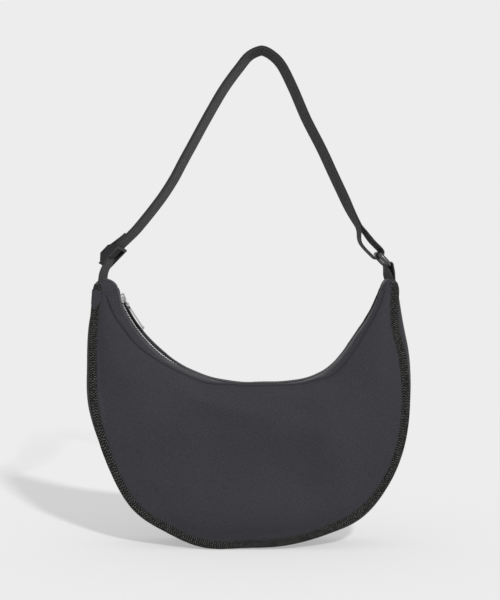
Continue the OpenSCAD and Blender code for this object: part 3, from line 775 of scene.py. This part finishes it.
class Finish:
    """A material of one Principled surface whose colour, roughness and relief are worked out."""

    def __init__(self, name, **settings):
        self.material = bpy.data.materials.new(name)
        self.material.use_nodes = True
        self.tree = self.material.node_tree
        self.tree.nodes.clear()
        self.output = self.tree.nodes.new("ShaderNodeOutputMaterial")
        self.surface = self.tree.nodes.new("ShaderNodeBsdfPrincipled")
        self.tree.links.new(self.surface.outputs[0], self.output.inputs["Surface"])
        for key, value in settings.items():
            label = key.replace("_", " ").title().replace("Ior", "IOR")
            self.surface.inputs[label].default_value = value

    def node(self, kind, settings, *inputs, **named_inputs):
        node = self.tree.nodes.new(kind)
        for key, value in settings.items():
            setattr(node, key, value)
        for key, value in [*enumerate(inputs), *named_inputs.items()]:
            socket = node.inputs[key]
            if isinstance(value, bpy.types.NodeSocket):
                self.tree.links.new(value, socket)
            else:
                socket.default_value = value
        return node

    def places(self):
        return self.node("ShaderNodeTexCoord", {}).outputs["Object"]

    def map(self):
        """The piece's own map in millimetres, as two values."""
        node = self.node("ShaderNodeSeparateXYZ", {}, self.node("ShaderNodeUVMap", {}).outputs[0])
        return [Value(self, node.outputs[i]) * (1 / MM) for i in (0, 1)]

    def specks(self, scale, detail=2.0, roughness=0.5, stretch=None):
        place = self.places()
        if stretch:
            stretched = self.node("ShaderNodeVectorMath", {"operation": "MULTIPLY"}, place, stretch)
            place = stretched.outputs[0]
        node = self.node("ShaderNodeTexNoise", {}, Vector=place, Scale=scale, Detail=detail,
                         Roughness=roughness)
        return Value(self, node.outputs[0])

    def colour(self, share, low, high):
        """Colours the surface between two colours, by a value."""
        node = self.node("ShaderNodeMix", {"data_type": "RGBA"})
        self.tree.links.new(share.socket, node.inputs[0])
        for socket, colour in ((node.inputs[6], low), (node.inputs[7], high)):
            socket.default_value = (*colour[:3], 1)
        self.tree.links.new(node.outputs[2], self.surface.inputs["Base Color"])

    def shades(self, share, colour, low, high):
        self.colour(share, tinted(colour, low), tinted(colour, high))

    def roughness(self, value):
        self.tree.links.new(value.socket, self.surface.inputs["Roughness"])

    def relief(self, value, distance, strength):
        bump = self.node("ShaderNodeBump", {}, Strength=strength, Distance=distance * MM,
                         Height=value.socket)
        self.tree.links.new(bump.outputs[0], self.surface.inputs["Normal"])


def tinted(colour, share):
    return tuple(clamp(c * share) for c in colour[:3])


def wave(value, pitch):
    """A sine of a value, from 0 to 1, that repeats at a pitch."""
    return (value * (2 * math.pi / pitch)).sine() * 0.5 + 0.5


def weave(finish, per_mm):
    """A plain weave over the front view: threads over and under in turn."""
    node = finish.node("ShaderNodeSeparateXYZ", {}, finish.places())
    x, y, z = (Value(finish, node.outputs[i]) for i in range(3))
    turn = 2 * math.pi * per_mm / MM
    return (((x + y) * turn).sine() * (z * turn).sine()) * 0.5 + 0.5


def body_cloth(name, colour, speck=1.0):
    """Brushed nylon: a fine weave with lighter and darker fibres, and a soft sheen."""
    finish = Finish(name, specular_ior_level=0.28, sheen_weight=0.12, sheen_roughness=0.45)
    fibres = finish.specks(950, 3.0, 0.65)
    patches = finish.specks(16, 2.0)
    threads = weave(finish, 0.9)
    share = (fibres.step(0.32, 0.68) * (0.66 * speck) + threads * 0.12 + patches * 0.3) - 0.04
    finish.shades(share, colour, 0.6, 1.5)
    finish.roughness(fibres * 0.16 + 0.72)
    finish.relief(threads * 0.4 + fibres * 0.6, 0.16, 0.55)
    return finish.material


def herringbone_tape(name, colour, speck_colour):
    """A folded tape with two courses of slanting ribs that meet in points."""
    finish = Finish(name, specular_ior_level=0.15)
    along, across = finish.map()
    course = (across * (1 / 3.9)).part() - 0.5
    ribs = ((along + course.size() * 3.0) * (2 * math.pi / 2.5)).sine()
    threads = wave(across, 0.42)
    fibres = finish.specks(900, 2.0, 0.6)
    raised = ribs.step(-0.55, 0.75)
    share = raised.power(3) * (fibres.step(0.4, 0.62) * 0.85 + threads * 0.15)
    finish.colour(share, colour, speck_colour)
    finish.roughness(raised * -0.12 + 0.86)
    finish.relief(raised * 0.8 + threads * 0.2, 0.45, 0.9)
    return finish.material


def ribbed_webbing(name, colour):
    """Flat webbing: fine chevrons in lengthwise courses between two plain edges."""
    finish = Finish(name, specular_ior_level=0.3, sheen_weight=0.1, sheen_roughness=0.5)
    along, across = finish.map()
    course = (across * (1 / 3.66)).part() - 0.5
    ribs = wave(along + course.size() * 2.6, 1.3)
    edge = (across - WEB_WIDTH / 2).size().step(WEB_WIDTH / 2 - 1.9, WEB_WIDTH / 2 - 1.2)
    fibres = finish.specks(700, 2.0, 0.6)
    raised = ribs * (1 - edge) + edge * 0.55
    share = raised * 0.55 + fibres * 0.45
    finish.shades(share, colour, 0.62, 1.34)
    finish.roughness(fibres * 0.12 + 0.72)
    finish.relief(raised, 0.32, 0.8)
    return finish.material


def zip_tape_cloth(name, colour):
    finish = Finish(name, specular_ior_level=0.25)
    along, across = finish.map()
    ribs = wave(along + (across * (1 / 1.4)).part() * 0.7, 0.7)
    finish.shades(ribs, colour, 0.7, 1.7)
    finish.roughness(ribs * 0.08 + 0.82)
    finish.relief(ribs, 0.12, 0.6)
    return finish.material


def metal(name, colour, smoothness):
    """Cast or drawn metal with faint polishing marks."""
    finish = Finish(name, metallic=1.0)
    marks = finish.specks(240, 3.0, 0.6, (1.0, 1.0, 5.0))
    dirt = finish.specks(70, 2.0)
    finish.shades(dirt.step(0.3, 0.75), colour, 0.86, 1.06)
    finish.roughness(marks * 0.06 + smoothness)
    finish.relief(marks, 0.05, 0.25)
    return finish.material


def enamel(name, colour, gloss, smoothness):
    """Black enamel over metal, smooth with a little orange peel, and rubbed at fine scale."""
    finish = Finish(name, specular_ior_level=gloss)
    peel = finish.specks(380, 2.0)
    rubs = finish.specks(120, 3.0, 0.7)
    finish.colour(rubs.step(0.62, 0.8) * 0.5, colour, tinted(colour, 3.2))
    finish.roughness(rubs * 0.12 + smoothness)
    finish.relief(peel, 0.06, 0.3)
    return finish.material


def thread(name, colour):
    finish = Finish(name, roughness=0.8, specular_ior_level=0.3, sheen_weight=0.2)
    twist = finish.specks(2200, 1.0)
    finish.shades(twist, colour, 0.6, 1.4)
    return finish.material


def lining_cloth(name, colour):
    finish = Finish(name, specular_ior_level=0.3)
    threads = weave(finish, 1.1)
    soft = finish.specks(30, 2.0)
    share = threads * 0.5 + soft * 0.5
    finish.shades(share, colour, 0.75, 1.3)
    finish.roughness(soft * 0.1 + 0.6)
    finish.relief(threads, 0.1, 0.4)
    return finish.material


# What a user sets

def colour_property(label, about, default):
    return bpy.props.FloatVectorProperty(
        name=label, description=about, default=default, subtype="COLOR", size=3, min=0, max=1)


def number_property(label, about, default, low, high, **kind):
    return bpy.props.FloatProperty(
        name=label, description=about, default=default, min=low, max=high, **kind)


def angle_property(label, about, default, low, high):
    return number_property(label, about, math.radians(default), math.radians(low),
                           math.radians(high), unit="ROTATION")


class HalfMoonBagLook(bpy.types.PropertyGroup):
    cloth_colour: colour_property("Cloth", "Colour of the outer cloth", (0.0315, 0.0302, 0.0364))
    binding_colour: colour_property(
        "Binding", "Ground colour of the seam binding", (0.0065, 0.0068, 0.0062))
    binding_speck: colour_property(
        "Binding rib", "Colour of the binding's raised ribs", (0.125, 0.129, 0.12))
    webbing_colour: colour_property("Webbing", "Colour of the strap", (0.035, 0.035, 0.0355))
    tape_colour: colour_property("Zip tape", "Colour of the zip's tapes", (0.012, 0.012, 0.014))
    lining_colour: colour_property("Lining", "Colour of the lining", (0.03, 0.03, 0.033))
    thread_colour: colour_property("Thread", "Colour of the stitches", (0.05, 0.05, 0.054))
    bright_colour: colour_property("Bright metal", "Colour of the zip's metal", (0.5, 0.5, 0.51))
    dark_colour: colour_property(
        "Black metal", "Colour of the slide and ring", (0.012, 0.012, 0.014))
    fold_depth: number_property(
        "Folds", "Depth of the soft folds, as a share of the photographed ones", 1, 0, 2,
        subtype="FACTOR")
    pucker: number_property(
        "Pucker", "Depth of the ripples along the seams, in millimetres", 0.3, 0, 0.8)
    stitch: number_property("Stitch length", "Length of one stitch, in millimetres", 2.6, 1.5, 4)


class HalfMoonBagStudio(bpy.types.PropertyGroup):
    distance: number_property(
        "Camera distance", "From the camera to the middle of the bag", 2.3, 1, 6, unit="LENGTH")
    elevation: angle_property(
        "Camera elevation", "Angle of the camera above the level", 5, 0, 30)
    height: number_property(
        "Field height", "Height of the picture at the bag", 0.632, 0.5, 1, unit="LENGTH")
    backdrop: number_property("Backdrop", "Brightness of the floor and backdrop", 0.847, 0, 1)
    key: number_property("Main light", "Strength of the light from the front right", 2, 0, 10)
    key_height: angle_property(
        "Light height", "Angle of the main light above the level", 31.7, 5, 85)
    key_side: angle_property(
        "Light side", "Angle of the main light to the right of the front", 19, -90, 90)
    world: number_property("Room light", "Strength of the light from all round", 0.42, 0, 2)


def look():
    return bpy.context.scene.half_moon_bag


def studio():
    return bpy.context.scene.half_moon_studio


# The pieces

SIDES = (("front", -1), ("rear", 1))


class BAG_OT_panels(bpy.types.Operator):
    """Makes the two crescent panels, with their folds and puckered seams"""
    bl_idname = "bag.panels"
    bl_label = "Panels"

    def execute(self, context):
        looks = look()
        finish = body_cloth("outer_cloth", looks.cloth_colour)
        for name, side in SIDES:
            piece = sheet(f"{name}_panel_cloth", (250, 54), panel_surface(side, looks), (0.9, 0.17),
                          turned=side < 0)
            dress(smoothed(piece), "bag", finish, "shell", f"{name}_panel")
        return {"FINISHED"}


class BAG_OT_gusset(bpy.types.Operator):
    """Makes the crowned gusset that joins the panels round the outer curve"""
    bl_idname = "bag.gusset"
    bl_label = "Gusset"

    def execute(self, context):
        looks = look()
        finish = body_cloth("gusset_cloth_finish", looks.cloth_colour, 0.9)
        piece = sheet("gusset_cloth", (280, 40), gusset_surface(looks), (0.75, 0.07), turned=True)
        dress(smoothed(piece), "bag", finish, "shell", "bottom_gusset")
        return {"FINISHED"}


class BAG_OT_bindings(bpy.types.Operator):
    """Makes the herringbone tapes folded over the two outer seams"""
    bl_idname = "bag.bindings"
    bl_label = "Bindings"

    def execute(self, context):
        looks = look()
        finish = herringbone_tape("herringbone_tape", looks.binding_colour, looks.binding_speck)
        folded = body_cloth("end_fold_cloth", looks.cloth_colour)
        for name, side in SIDES:
            piece = sheet(f"{name}_binding_tape", (430, 24), binding_surface(side, looks),
                          (0.77, TAPE_TURN * MM), BINDING, turned=side < 0)
            dress(smoothed(piece), "bag", finish, "binding", f"{name}_binding")
            fold = sheet(f"{name}_binding_end_fold", (16, 48), end_fold_surface(side),
                         (0.012, 0.024), 0.6, turned=side < 0)
            dress(smoothed(fold), "bag", folded, "shell")
        return {"FINISHED"}


class BAG_OT_zip_strips(bpy.types.Operator):
    """Makes the cloth strips between the panels and the zip, and their topstitching"""
    bl_idname = "bag.zip_strips"
    bl_label = "Zip strips"

    def execute(self, context):
        looks = look()
        finish = body_cloth("strip_cloth", looks.cloth_colour)
        sewing = thread("topstitch", looks.thread_colour)
        for name, side in SIDES:
            piece = sheet(f"{name}_zip_strip_cloth", (260, 26), strip_surface(side, looks),
                          (0.44, 0.026), offset=0, turned=side > 0)
            dress(smoothed(bevelled(piece, 0.4, 2, 60)), "bag", finish, "shell",
                  f"{name}_zip_strip")
            step = math.degrees((looks.stitch + 0.9) / ZIP_R)
            count = int(2 * (ZIP_HALF_ANGLE - 1.5) / step)
            spots = []
            for i in range(count):
                a = -ZIP_HALF_ANGLE + 1.5 + (i + 0.5) * step
                y = side * (STRIP_EDGE + 1.7)
                out = SEWN_GAP + SHELL + zip_roll(a, y)
                along = zip_point(a + 0.5, out, y) - zip_point(a - 0.5, out, y)
                up = zip_point(a, out + 5, y) - zip_point(a, out, y)
                spots.append((zip_point(a, out, y), along, up))
            row = stitch_row(f"{name}_strip_topstitch", spots, looks.stitch)
            dress(row, "bag", sewing, "shell")
        return {"FINISHED"}


def tooth_mesh():
    """One zip tooth: legs that grip the tape, a waist, and a head with a nib."""
    deselect_all()
    bpy.ops.mesh.primitive_cube_add(size=1)
    piece = bpy.context.object
    root, reach = TAPE_GAP_HALF + 1.17, 0.7
    in_edit(piece, (bpy.ops.mesh.subdivide, {"number_cuts": 3}))
    for v in piece.data.vertices:
        share = v.co.y + 0.5
        waist = 1 - 0.32 * hump(share, 0.72, 0.2)
        head = 1 - 0.3 * smooth((share - 0.82) / 0.18)
        legs = 1 - 0.25 * smooth((0.22 - share) / 0.22)
        v.co = Vector((v.co.x * 1.5 * waist * head, mix(-root, reach, share),
                       v.co.z * 2.6 * (1 - 0.18 * hump(share, 0.72, 0.2)) * head * legs)) * MM
    return bevelled(piece, 0.22, 1, 40)


class BAG_OT_zip_chain(bpy.types.Operator):
    """Makes the zip's two woven tapes and its two rows of metal teeth"""
    bl_idname = "bag.zip_chain"
    bl_label = "Zip chain"

    def execute(self, context):
        looks = look()
        woven = zip_tape_cloth("zip_tape_weave", looks.tape_colour)
        bright = metal("tooth_metal", tinted(looks.bright_colour, 1.35), 0.3)
        step = math.degrees(TOOTH_PITCH / ZIP_R)
        first = SLIDER_ANGLE + math.degrees((1.25 * 2.6 - 6 + RUNNING_GAP) / ZIP_R)
        count = int((ZIP_HALF_ANGLE - math.degrees((2 + 0.3) / ZIP_R) - first) / step - 0.1)
        for name, side in SIDES:
            def tape_point(s, t):
                a = mix(-ZIP_HALF_ANGLE, ZIP_HALF_ANGLE, s)
                y = side * mix(TAPE_GAP_HALF, TAPE_EDGE, t)
                return zip_point(a, zip_roll(a, y) - TAPE / 2, y)
            tape = sheet(f"{name}_zip_tape_web", (200, 10), tape_point, (0.36, 0.0083), TAPE, 0)
            dress(smoothed(tape), "bag", woven, "zip_tape", f"{name}_zip_tape")
            places = []
            for i in range(count):
                a = first + (i + (0.25 if side < 0 else 0.75)) * step
                along = (zip_point(a + 0.5, 0, 0) - zip_point(a - 0.5, 0, 0)).normalized()
                places.append(standing(zip_point(a, -TAPE / 2, 0), along, Vector((0, -side, 0)),
                                       along.cross(Vector((0, 1, 0)))))
            tooth = tooth_mesh()
            repeated(tooth, places)
            named(f"{name}_tooth_row")
            dress(smoothed(tooth, 35), "bag", bright, "zip_metal", f"{name}_zip_teeth")
        return {"FINISHED"}


class BAG_OT_tips(bpy.types.Operator):
    """Makes the folded ends of the bag that hold the webbing's seams"""
    bl_idname = "bag.tips"
    bl_label = "Tips"

    def execute(self, context):
        looks = look()
        finish = body_cloth("tip_cloth", looks.cloth_colour)
        for name, side in (("left", 1), ("right", -1)):
            piece = welded(cloth(f"{name}_tip_fold", 64, 30, tip_surface(side), (0.1, 0.03)))
            dress(smoothed(piece, 60), "bag", finish, "shell", f"{name}_tip")
        return {"FINISHED"}


class BAG_OT_linings(bpy.types.Operator):
    """Makes the linings and the slip pocket inside the bag"""
    bl_idname = "bag.linings"
    bl_label = "Linings and pocket"

    def execute(self, context):
        looks = look()
        finish = lining_cloth("lining_cloth", looks.lining_colour)
        surfaces = [(f"{name}_lining_cloth", lining_surface(side, looks), f"{name}_lining")
                    for name, side in SIDES]
        surfaces.append(("gusset_lining_cloth", gusset_lining_surface, "gusset_lining"))
        surfaces.append(("slip_pocket_cloth", lambda s, t: pocket_surface(s, t, looks),
                         "slip_pocket"))
        for name, surface, node in surfaces:
            piece = sheet(name, (110, 24), surface, thick=0.5, offset=0)
            dress(smoothed(piece), "bag", finish, "lining", node)
        return {"FINISHED"}


def even_line(samples):
    """A line through samples of (middle, normal, height) at an even pace, and its length."""
    runs = [0.0]
    for a, b in zip(samples, samples[1:]):
        runs.append(runs[-1] + (web_point(*b, 0) - web_point(*a, 0)).length / MM)

    def line(s):
        x = clamp(s) * runs[-1]
        i = next((j for j in range(1, len(runs)) if runs[j] >= x - 1e-9), len(runs) - 1)
        share = (x - runs[i - 1]) / max(runs[i] - runs[i - 1], 1e-9)
        (m0, n0, h0), (m1, n1, h1) = samples[i - 1], samples[i]
        return m0.lerp(m1, share), n0.lerp(n1, share).normalized(), mix(h0, h1, share)
    return line, runs[-1]


def arc_samples(start, end, side):
    stations = [mix(start, end, i / 30) for i in range(30)]
    return [(arc_mid(x), arc_out(x), side * LAYER) for x in stations]


def over_samples(side):
    stations = [mix(1, OVER_LAST, i / 160) for i in range(161)]
    return [(over_mid(k), over_out(k), side * spread(k)) for k in stations]


def wrap_samples(middle, radius, sign, first, last):
    turns = [math.radians(mix(first, last, i / 24)) for i in range(25)]
    return [(middle + RING_ALONG * radius * math.sin(a) * sign, RING_OUT, radius * math.cos(a))
            for a in turns]


def loop_samples():
    """Round the slide's middle bar: out along the strap, round the bar, and back as the lap."""
    points = [(s * LAP_LENGTH, LAYER) for s in (1, 0.75, 0.5, 0.25)]
    for i in range(17):
        a = math.radians(-90 - 180 * i / 16)
        points.append((LOOP_R * math.cos(a), PIN_OUT + LOOP_R * math.sin(a)))
    for s in (0.12, 0.24, 0.36, 0.5, 0.7, 0.92):
        lift = max(1 - s / 0.85, 0) ** 1.4
        points.append((s * LAP_LENGTH, LAP_OUT + (PIN_OUT + LOOP_R - LAP_OUT) * lift))
    table = [Vector(p) for p in points]
    samples = []
    for i in range(121):
        q = at(table, i / 120 * (len(table) - 1))
        samples.append((arc_mid(q.x), arc_out(q.x), q.y))
    return samples


def tab_samples():
    def layer(side):
        spots = []
        for i in range(9):
            s = i / 8
            m = RING_LOW.lerp(RIGHT_SEAM - Vector((0, SEWN_IN)), s)
            n = RING_OUT.lerp(Vector((1, 0)), s).normalized()
            off, turn = side * mix(TAB_R, LAYER, s), math.radians(TAB_TURN * (1 - s))
            spots.append((m - Vector((n.y, -n.x)) * off * math.sin(turn), n, off * math.cos(turn)))
        return spots
    wrap = wrap_samples(RING_LOW, TAB_R, -1, first=TAB_TURN, last=180 + TAB_TURN)
    return layer(1)[::-1] + wrap[1:-1] + layer(-1)


def tail_samples():
    a, b = LEFT_SEAM - Vector((0, SEWN_IN)), arc_mid(TAIL_MEETS)
    reach = (b - a).length
    c, d = a + Vector((0, 0.35 * reach)), b - Vector((0.42, 0.91)) * 0.35 * reach
    samples = []
    for i in range(17):
        s = i / 16
        u = 1 - s
        m = a * u ** 3 + c * 3 * u * u * s + d * 3 * u * s * s + b * s ** 3
        g = ((c - a) * u * u + (d - c) * 2 * u * s + (b - d) * s * s).normalized()
        samples.append((m, left_of(g), -(LAYER + WEB + SEWN_GAP) * s))
    return samples


def stitches_across(samples_at, offset, width, length):
    """Spots of a row of stitches across the webbing at one place of a line."""
    m, n, h = samples_at
    pitch = length + 0.5
    count = int(width / pitch)
    spots = []
    for i in range(count):
        w = (i - (count - 1) / 2) * pitch
        here = web_point(m, n, h + offset, w)
        along = web_point(m, n, h + offset, w + 1) - here
        up = web_point(m, n, h + offset + 1, w) - here
        spots.append((here, along, up))
    return spots


def span(piece, finish, node, first, last):
    """Finishes webbing that runs from one body to another, hides its solid and bakes its place into
    its mesh; it is put on no body.
    """
    finished(piece, finish, "webbing", node)
    place(first[1], 0)
    place(last[1], 0)
    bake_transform(piece)


class BAG_OT_webbing(bpy.types.Operator):
    """Makes the doubled strap, its turns, its sewn ends and their stitches"""
    bl_idname = "bag.webbing"
    bl_label = "Webbing"

    def execute(self, context):
        looks = look()
        finish = ribbed_webbing("ribbed_webbing", looks.webbing_colour)
        sewing = thread("webbing_thread", looks.thread_colour)
        inner = (arc_samples(RUN_START, ARC_LENGTH, -1) + over_samples(-1)
                 + wrap_samples(RING_HIGH, TURN_R, 1, first=180, last=0)[1:])
        piece = strip_of_web("strap_inner_web", inner, 220)
        dress(piece, "strap", finish, "webbing", "strap_inner_run", "strap_turn")
        outer = arc_samples(LAP_LENGTH + 0.1, ARC_LENGTH, 1) + over_samples(1)
        piece = strip_of_web("strap_outer_web", outer, 200)
        span(piece, finish, "strap_outer_run", ("strap_slide", arc_mid(LAP_LENGTH)),
             ("strap", arc_mid(ARC_LENGTH)))
        piece = strip_of_web("slide_sewn_loop", loop_samples(), 120)
        dress(piece, "strap_slide", finish, "webbing", "strap_sewn_loop")
        spots = []
        for x in (13, 15.2, 22.5, 24.7):
            there = (arc_mid(x), arc_out(x), LAP_OUT + WEB / 2)
            spots += stitches_across(there, 0.05, 19, 2.2)
        row = stitch_row("slide_loop_stitches", spots, 2.2)
        dress(row, "strap_slide", sewing, "webbing")
        piece = strip_of_web("strap_tail_web", tail_samples(), 24)
        span(piece, finish, "strap_tail", ("bag", LEFT_SEAM), ("strap", arc_mid(TAIL_MEETS)))
        piece = strip_of_web("ring_tab_web", tab_samples(), 70)
        span(piece, finish, "ring_tab", ("bag", RIGHT_SEAM), ("strap", RING_LOW))
        return {"FINISHED"}


def ring_surface(s, t):
    """The ring's round wire, laid along a rounded rectangle."""
    def spot(angle):
        u, v = math.cos(angle), math.sin(angle)
        return Vector((math.copysign(abs(u) ** 0.5, u) * RING_SPAN / 2 - RING_SPAN / 2,
                       math.copysign(abs(v) ** 0.5, v) * RING_RAIL))
    angle, turn = 2 * math.pi * s, 2 * math.pi * t
    v = math.sin(angle)
    q = spot(angle)
    out = left_of(spot(angle + 0.01) - spot(angle - 0.01)).normalized() * -1
    wire = RING_BAR / 2 * (1 + 0.35 * abs(v) ** 6)
    q += out * wire * math.cos(turn)
    c, sine = math.cos(math.radians(RING_LEAN)), math.sin(math.radians(RING_LEAN))
    h = wire * math.sin(turn)
    return place(RING_LOW + RING_ALONG * q.x + RING_OUT * (h * c - q.y * sine), h * sine + q.y * c)


class BAG_OT_metal_parts(bpy.types.Operator):
    """Finishes the zip's slider, link, pull and stops, and the strap's slide and ring"""
    bl_idname = "bag.metal_parts"
    bl_label = "Metal parts"

    def execute(self, context):
        looks = look()
        bright = metal("polished_metal", looks.bright_colour, 0.13)
        dull = metal("stop_metal", tinted(looks.bright_colour, 0.8), 0.3)
        satin = enamel("satin_enamel", looks.dark_colour, 0.25, 0.46)
        gloss = enamel("gloss_enamel", looks.dark_colour, 1.0, 0.3)
        ring = welded(cloth("ring_frame", 96, 20, ring_surface))
        dress(smoothed(ring, 60), "strap_ring", gloss, "black_metal", "strap_ring")
        deselect_all()
        bpy.ops.mesh.primitive_cube_add(size=1)
        slide = named("slide_frame")
        mesh = bmesh.new()
        mesh.from_mesh(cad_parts["strap_slide"].data)
        bmesh.ops.translate(mesh, verts=mesh.verts, vec=(SLIDE_DRIFT * MM, 0, 0))
        mesh.to_mesh(slide.data)
        mesh.free()
        dress(smoothed(slide, 40), "strap_slide", satin, "black_metal", "strap_slide")
        for node, finish in (("zip_slider", bright), ("pull_link", bright), ("zip_pull", bright),
                             ("zip_stops", dull)):
            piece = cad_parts[node]
            for slot in piece.material_slots:
                slot.material = finish
        return {"FINISHED"}


WHITE = (1, 1, 1, 1)
FLOOR_COLOUR = (0.6, 0.6, 0.6, 1)
# What the floor shows of the lamps' light, which its glow makes up to the backdrop
FLOOR_LIT = 0.45
AIM = (2.6, 0, 259.8)
SENSOR = 36


class BAG_OT_studio(bpy.types.Operator):
    """Makes the pale floor and room, the lamps and the camera"""
    bl_idname = "bag.studio"
    bl_label = "Studio"

    def execute(self, context):
        looks = studio()
        self.floor(looks)
        self.room(looks)
        self.lamps(looks)
        self.camera(looks)
        return {"FINISHED"}

    def floor(self, looks):
        deselect_all()
        bpy.ops.mesh.primitive_circle_add(vertices=96, radius=4, fill_type="TRIFAN")
        floor = named("studio_floor")
        finish = Finish("floor_paper", roughness=0.9, specular_ior_level=0.0)
        finish.tree.nodes.remove(finish.surface)
        matt = finish.node("ShaderNodeBsdfDiffuse", {}, Color=FLOOR_COLOUR)
        glow = finish.node("ShaderNodeEmission", {}, Color=WHITE,
                           Strength=looks.backdrop - FLOOR_LIT)
        both = finish.node("ShaderNodeAddShader", {}, matt.outputs[0], glow.outputs[0])
        plain = finish.node("ShaderNodeEmission", {}, Color=WHITE, Strength=looks.backdrop)
        centre = finish.node("ShaderNodeVectorMath", {"operation": "LENGTH"}, finish.places())
        far = Value(finish, centre.outputs["Value"]).step(0.9, 2.2)
        faded = finish.node("ShaderNodeMixShader", {}, far.socket, both.outputs[0],
                            plain.outputs[0])
        path = finish.node("ShaderNodeLightPath", {})
        camera, glossy, through = (
            Value(finish, path.outputs[f"Is {kind} Ray"])
            for kind in ("Camera", "Glossy", "Transmission"))
        seen = camera + glossy + through
        dim = finish.node("ShaderNodeBsdfDiffuse", {}, Color=(0.62, 0.62, 0.63, 1))
        choice = finish.node("ShaderNodeMixShader", {}, seen.socket, dim.outputs[0],
                             faded.outputs[0])
        finish.tree.links.new(choice.outputs[0], finish.output.inputs["Surface"])
        floor.data.materials.append(finish.material)

    def room(self, looks):
        world = bpy.data.worlds.new("studio_room")
        bpy.context.scene.world = world
        world.use_nodes = True
        tree = world.node_tree
        tree.nodes.clear()
        output = tree.nodes.new("ShaderNodeOutputWorld")
        path, choose = tree.nodes.new("ShaderNodeLightPath"), tree.nodes.new("ShaderNodeMixShader")
        either = tree.nodes.new("ShaderNodeMath")
        either.operation = "MAXIMUM"
        for i, kind in enumerate(("Camera", "Glossy")):
            tree.links.new(path.outputs[f"Is {kind} Ray"], either.inputs[i])
        tree.links.new(either.outputs[0], choose.inputs[0])
        # The bag is lit by the first and the camera sees the second
        for i, strength in enumerate((looks.world, looks.backdrop)):
            light = tree.nodes.new("ShaderNodeBackground")
            light.inputs["Color"].default_value = WHITE
            light.inputs["Strength"].default_value = strength
            tree.links.new(light.outputs[0], choose.inputs[i + 1])
        tree.links.new(choose.outputs[0], output.inputs["Surface"])

    def lamps(self, looks):
        level = math.cos(looks.key_height)
        towards = Vector((level * math.sin(looks.key_side), -level * math.cos(looks.key_side),
                          math.sin(looks.key_height)))
        deselect_all()
        bpy.ops.object.light_add(type="SUN", location=towards * 3)
        lamp = bpy.context.object
        lamp.name = "main_light"
        lamp.data.energy = looks.key
        lamp.data.angle = math.radians(4)
        lamp.rotation_euler = (-towards).to_track_quat("-Z", "Y").to_euler()

    def camera(self, looks):
        target = Vector(AIM) * MM
        back = Vector((0, -math.cos(looks.elevation), math.sin(looks.elevation)))
        bpy.ops.object.camera_add(location=target + back * looks.distance)
        camera = bpy.context.object
        camera.name = "studio_camera"
        camera.rotation_euler = (-back).to_track_quat("-Z", "Y").to_euler()
        camera.data.sensor_width = SENSOR
        camera.data.lens = SENSOR * looks.distance / looks.height
        camera.data.clip_start, camera.data.clip_end = 0.05, 50
        bpy.context.scene.camera = camera
        bpy.context.scene.view_settings.view_transform = "Standard"


OPERATORS = (BAG_OT_panels, BAG_OT_gusset, BAG_OT_bindings, BAG_OT_zip_strips, BAG_OT_zip_chain,
             BAG_OT_tips, BAG_OT_linings, BAG_OT_webbing, BAG_OT_metal_parts, BAG_OT_studio)


class BAG_PT_sidebar(bpy.types.Panel):
    """Lists the bag's settings and the pieces in the order they are made"""
    bl_idname = "BAG_PT_sidebar"
    bl_label = "Half Moon Bag"
    bl_space_type = "VIEW_3D"
    bl_region_type = "UI"
    bl_category = "Half Moon Bag"

    def draw(self, context):
        for group in (look(), studio()):
            box = self.layout.box()
            for name in group.__annotations__:
                box.prop(group, name)
        for operator in OPERATORS:
            self.layout.operator(operator.bl_idname)


CLASSES = (HalfMoonBagLook, HalfMoonBagStudio, *OPERATORS, BAG_PT_sidebar)


def register():
    for cls in CLASSES:
        bpy.utils.register_class(cls)
    bpy.types.Scene.half_moon_bag = bpy.props.PointerProperty(type=HalfMoonBagLook)
    bpy.types.Scene.half_moon_studio = bpy.props.PointerProperty(type=HalfMoonBagStudio)


def unregister():
    del bpy.types.Scene.half_moon_studio
    del bpy.types.Scene.half_moon_bag
    for cls in reversed(CLASSES):
        bpy.utils.unregister_class(cls)


def main():
    register()
    for operator in OPERATORS:
        group, name = operator.bl_idname.split(".")
        getattr(getattr(bpy.ops, group), name)()


if __name__ == "__main__":
    main()
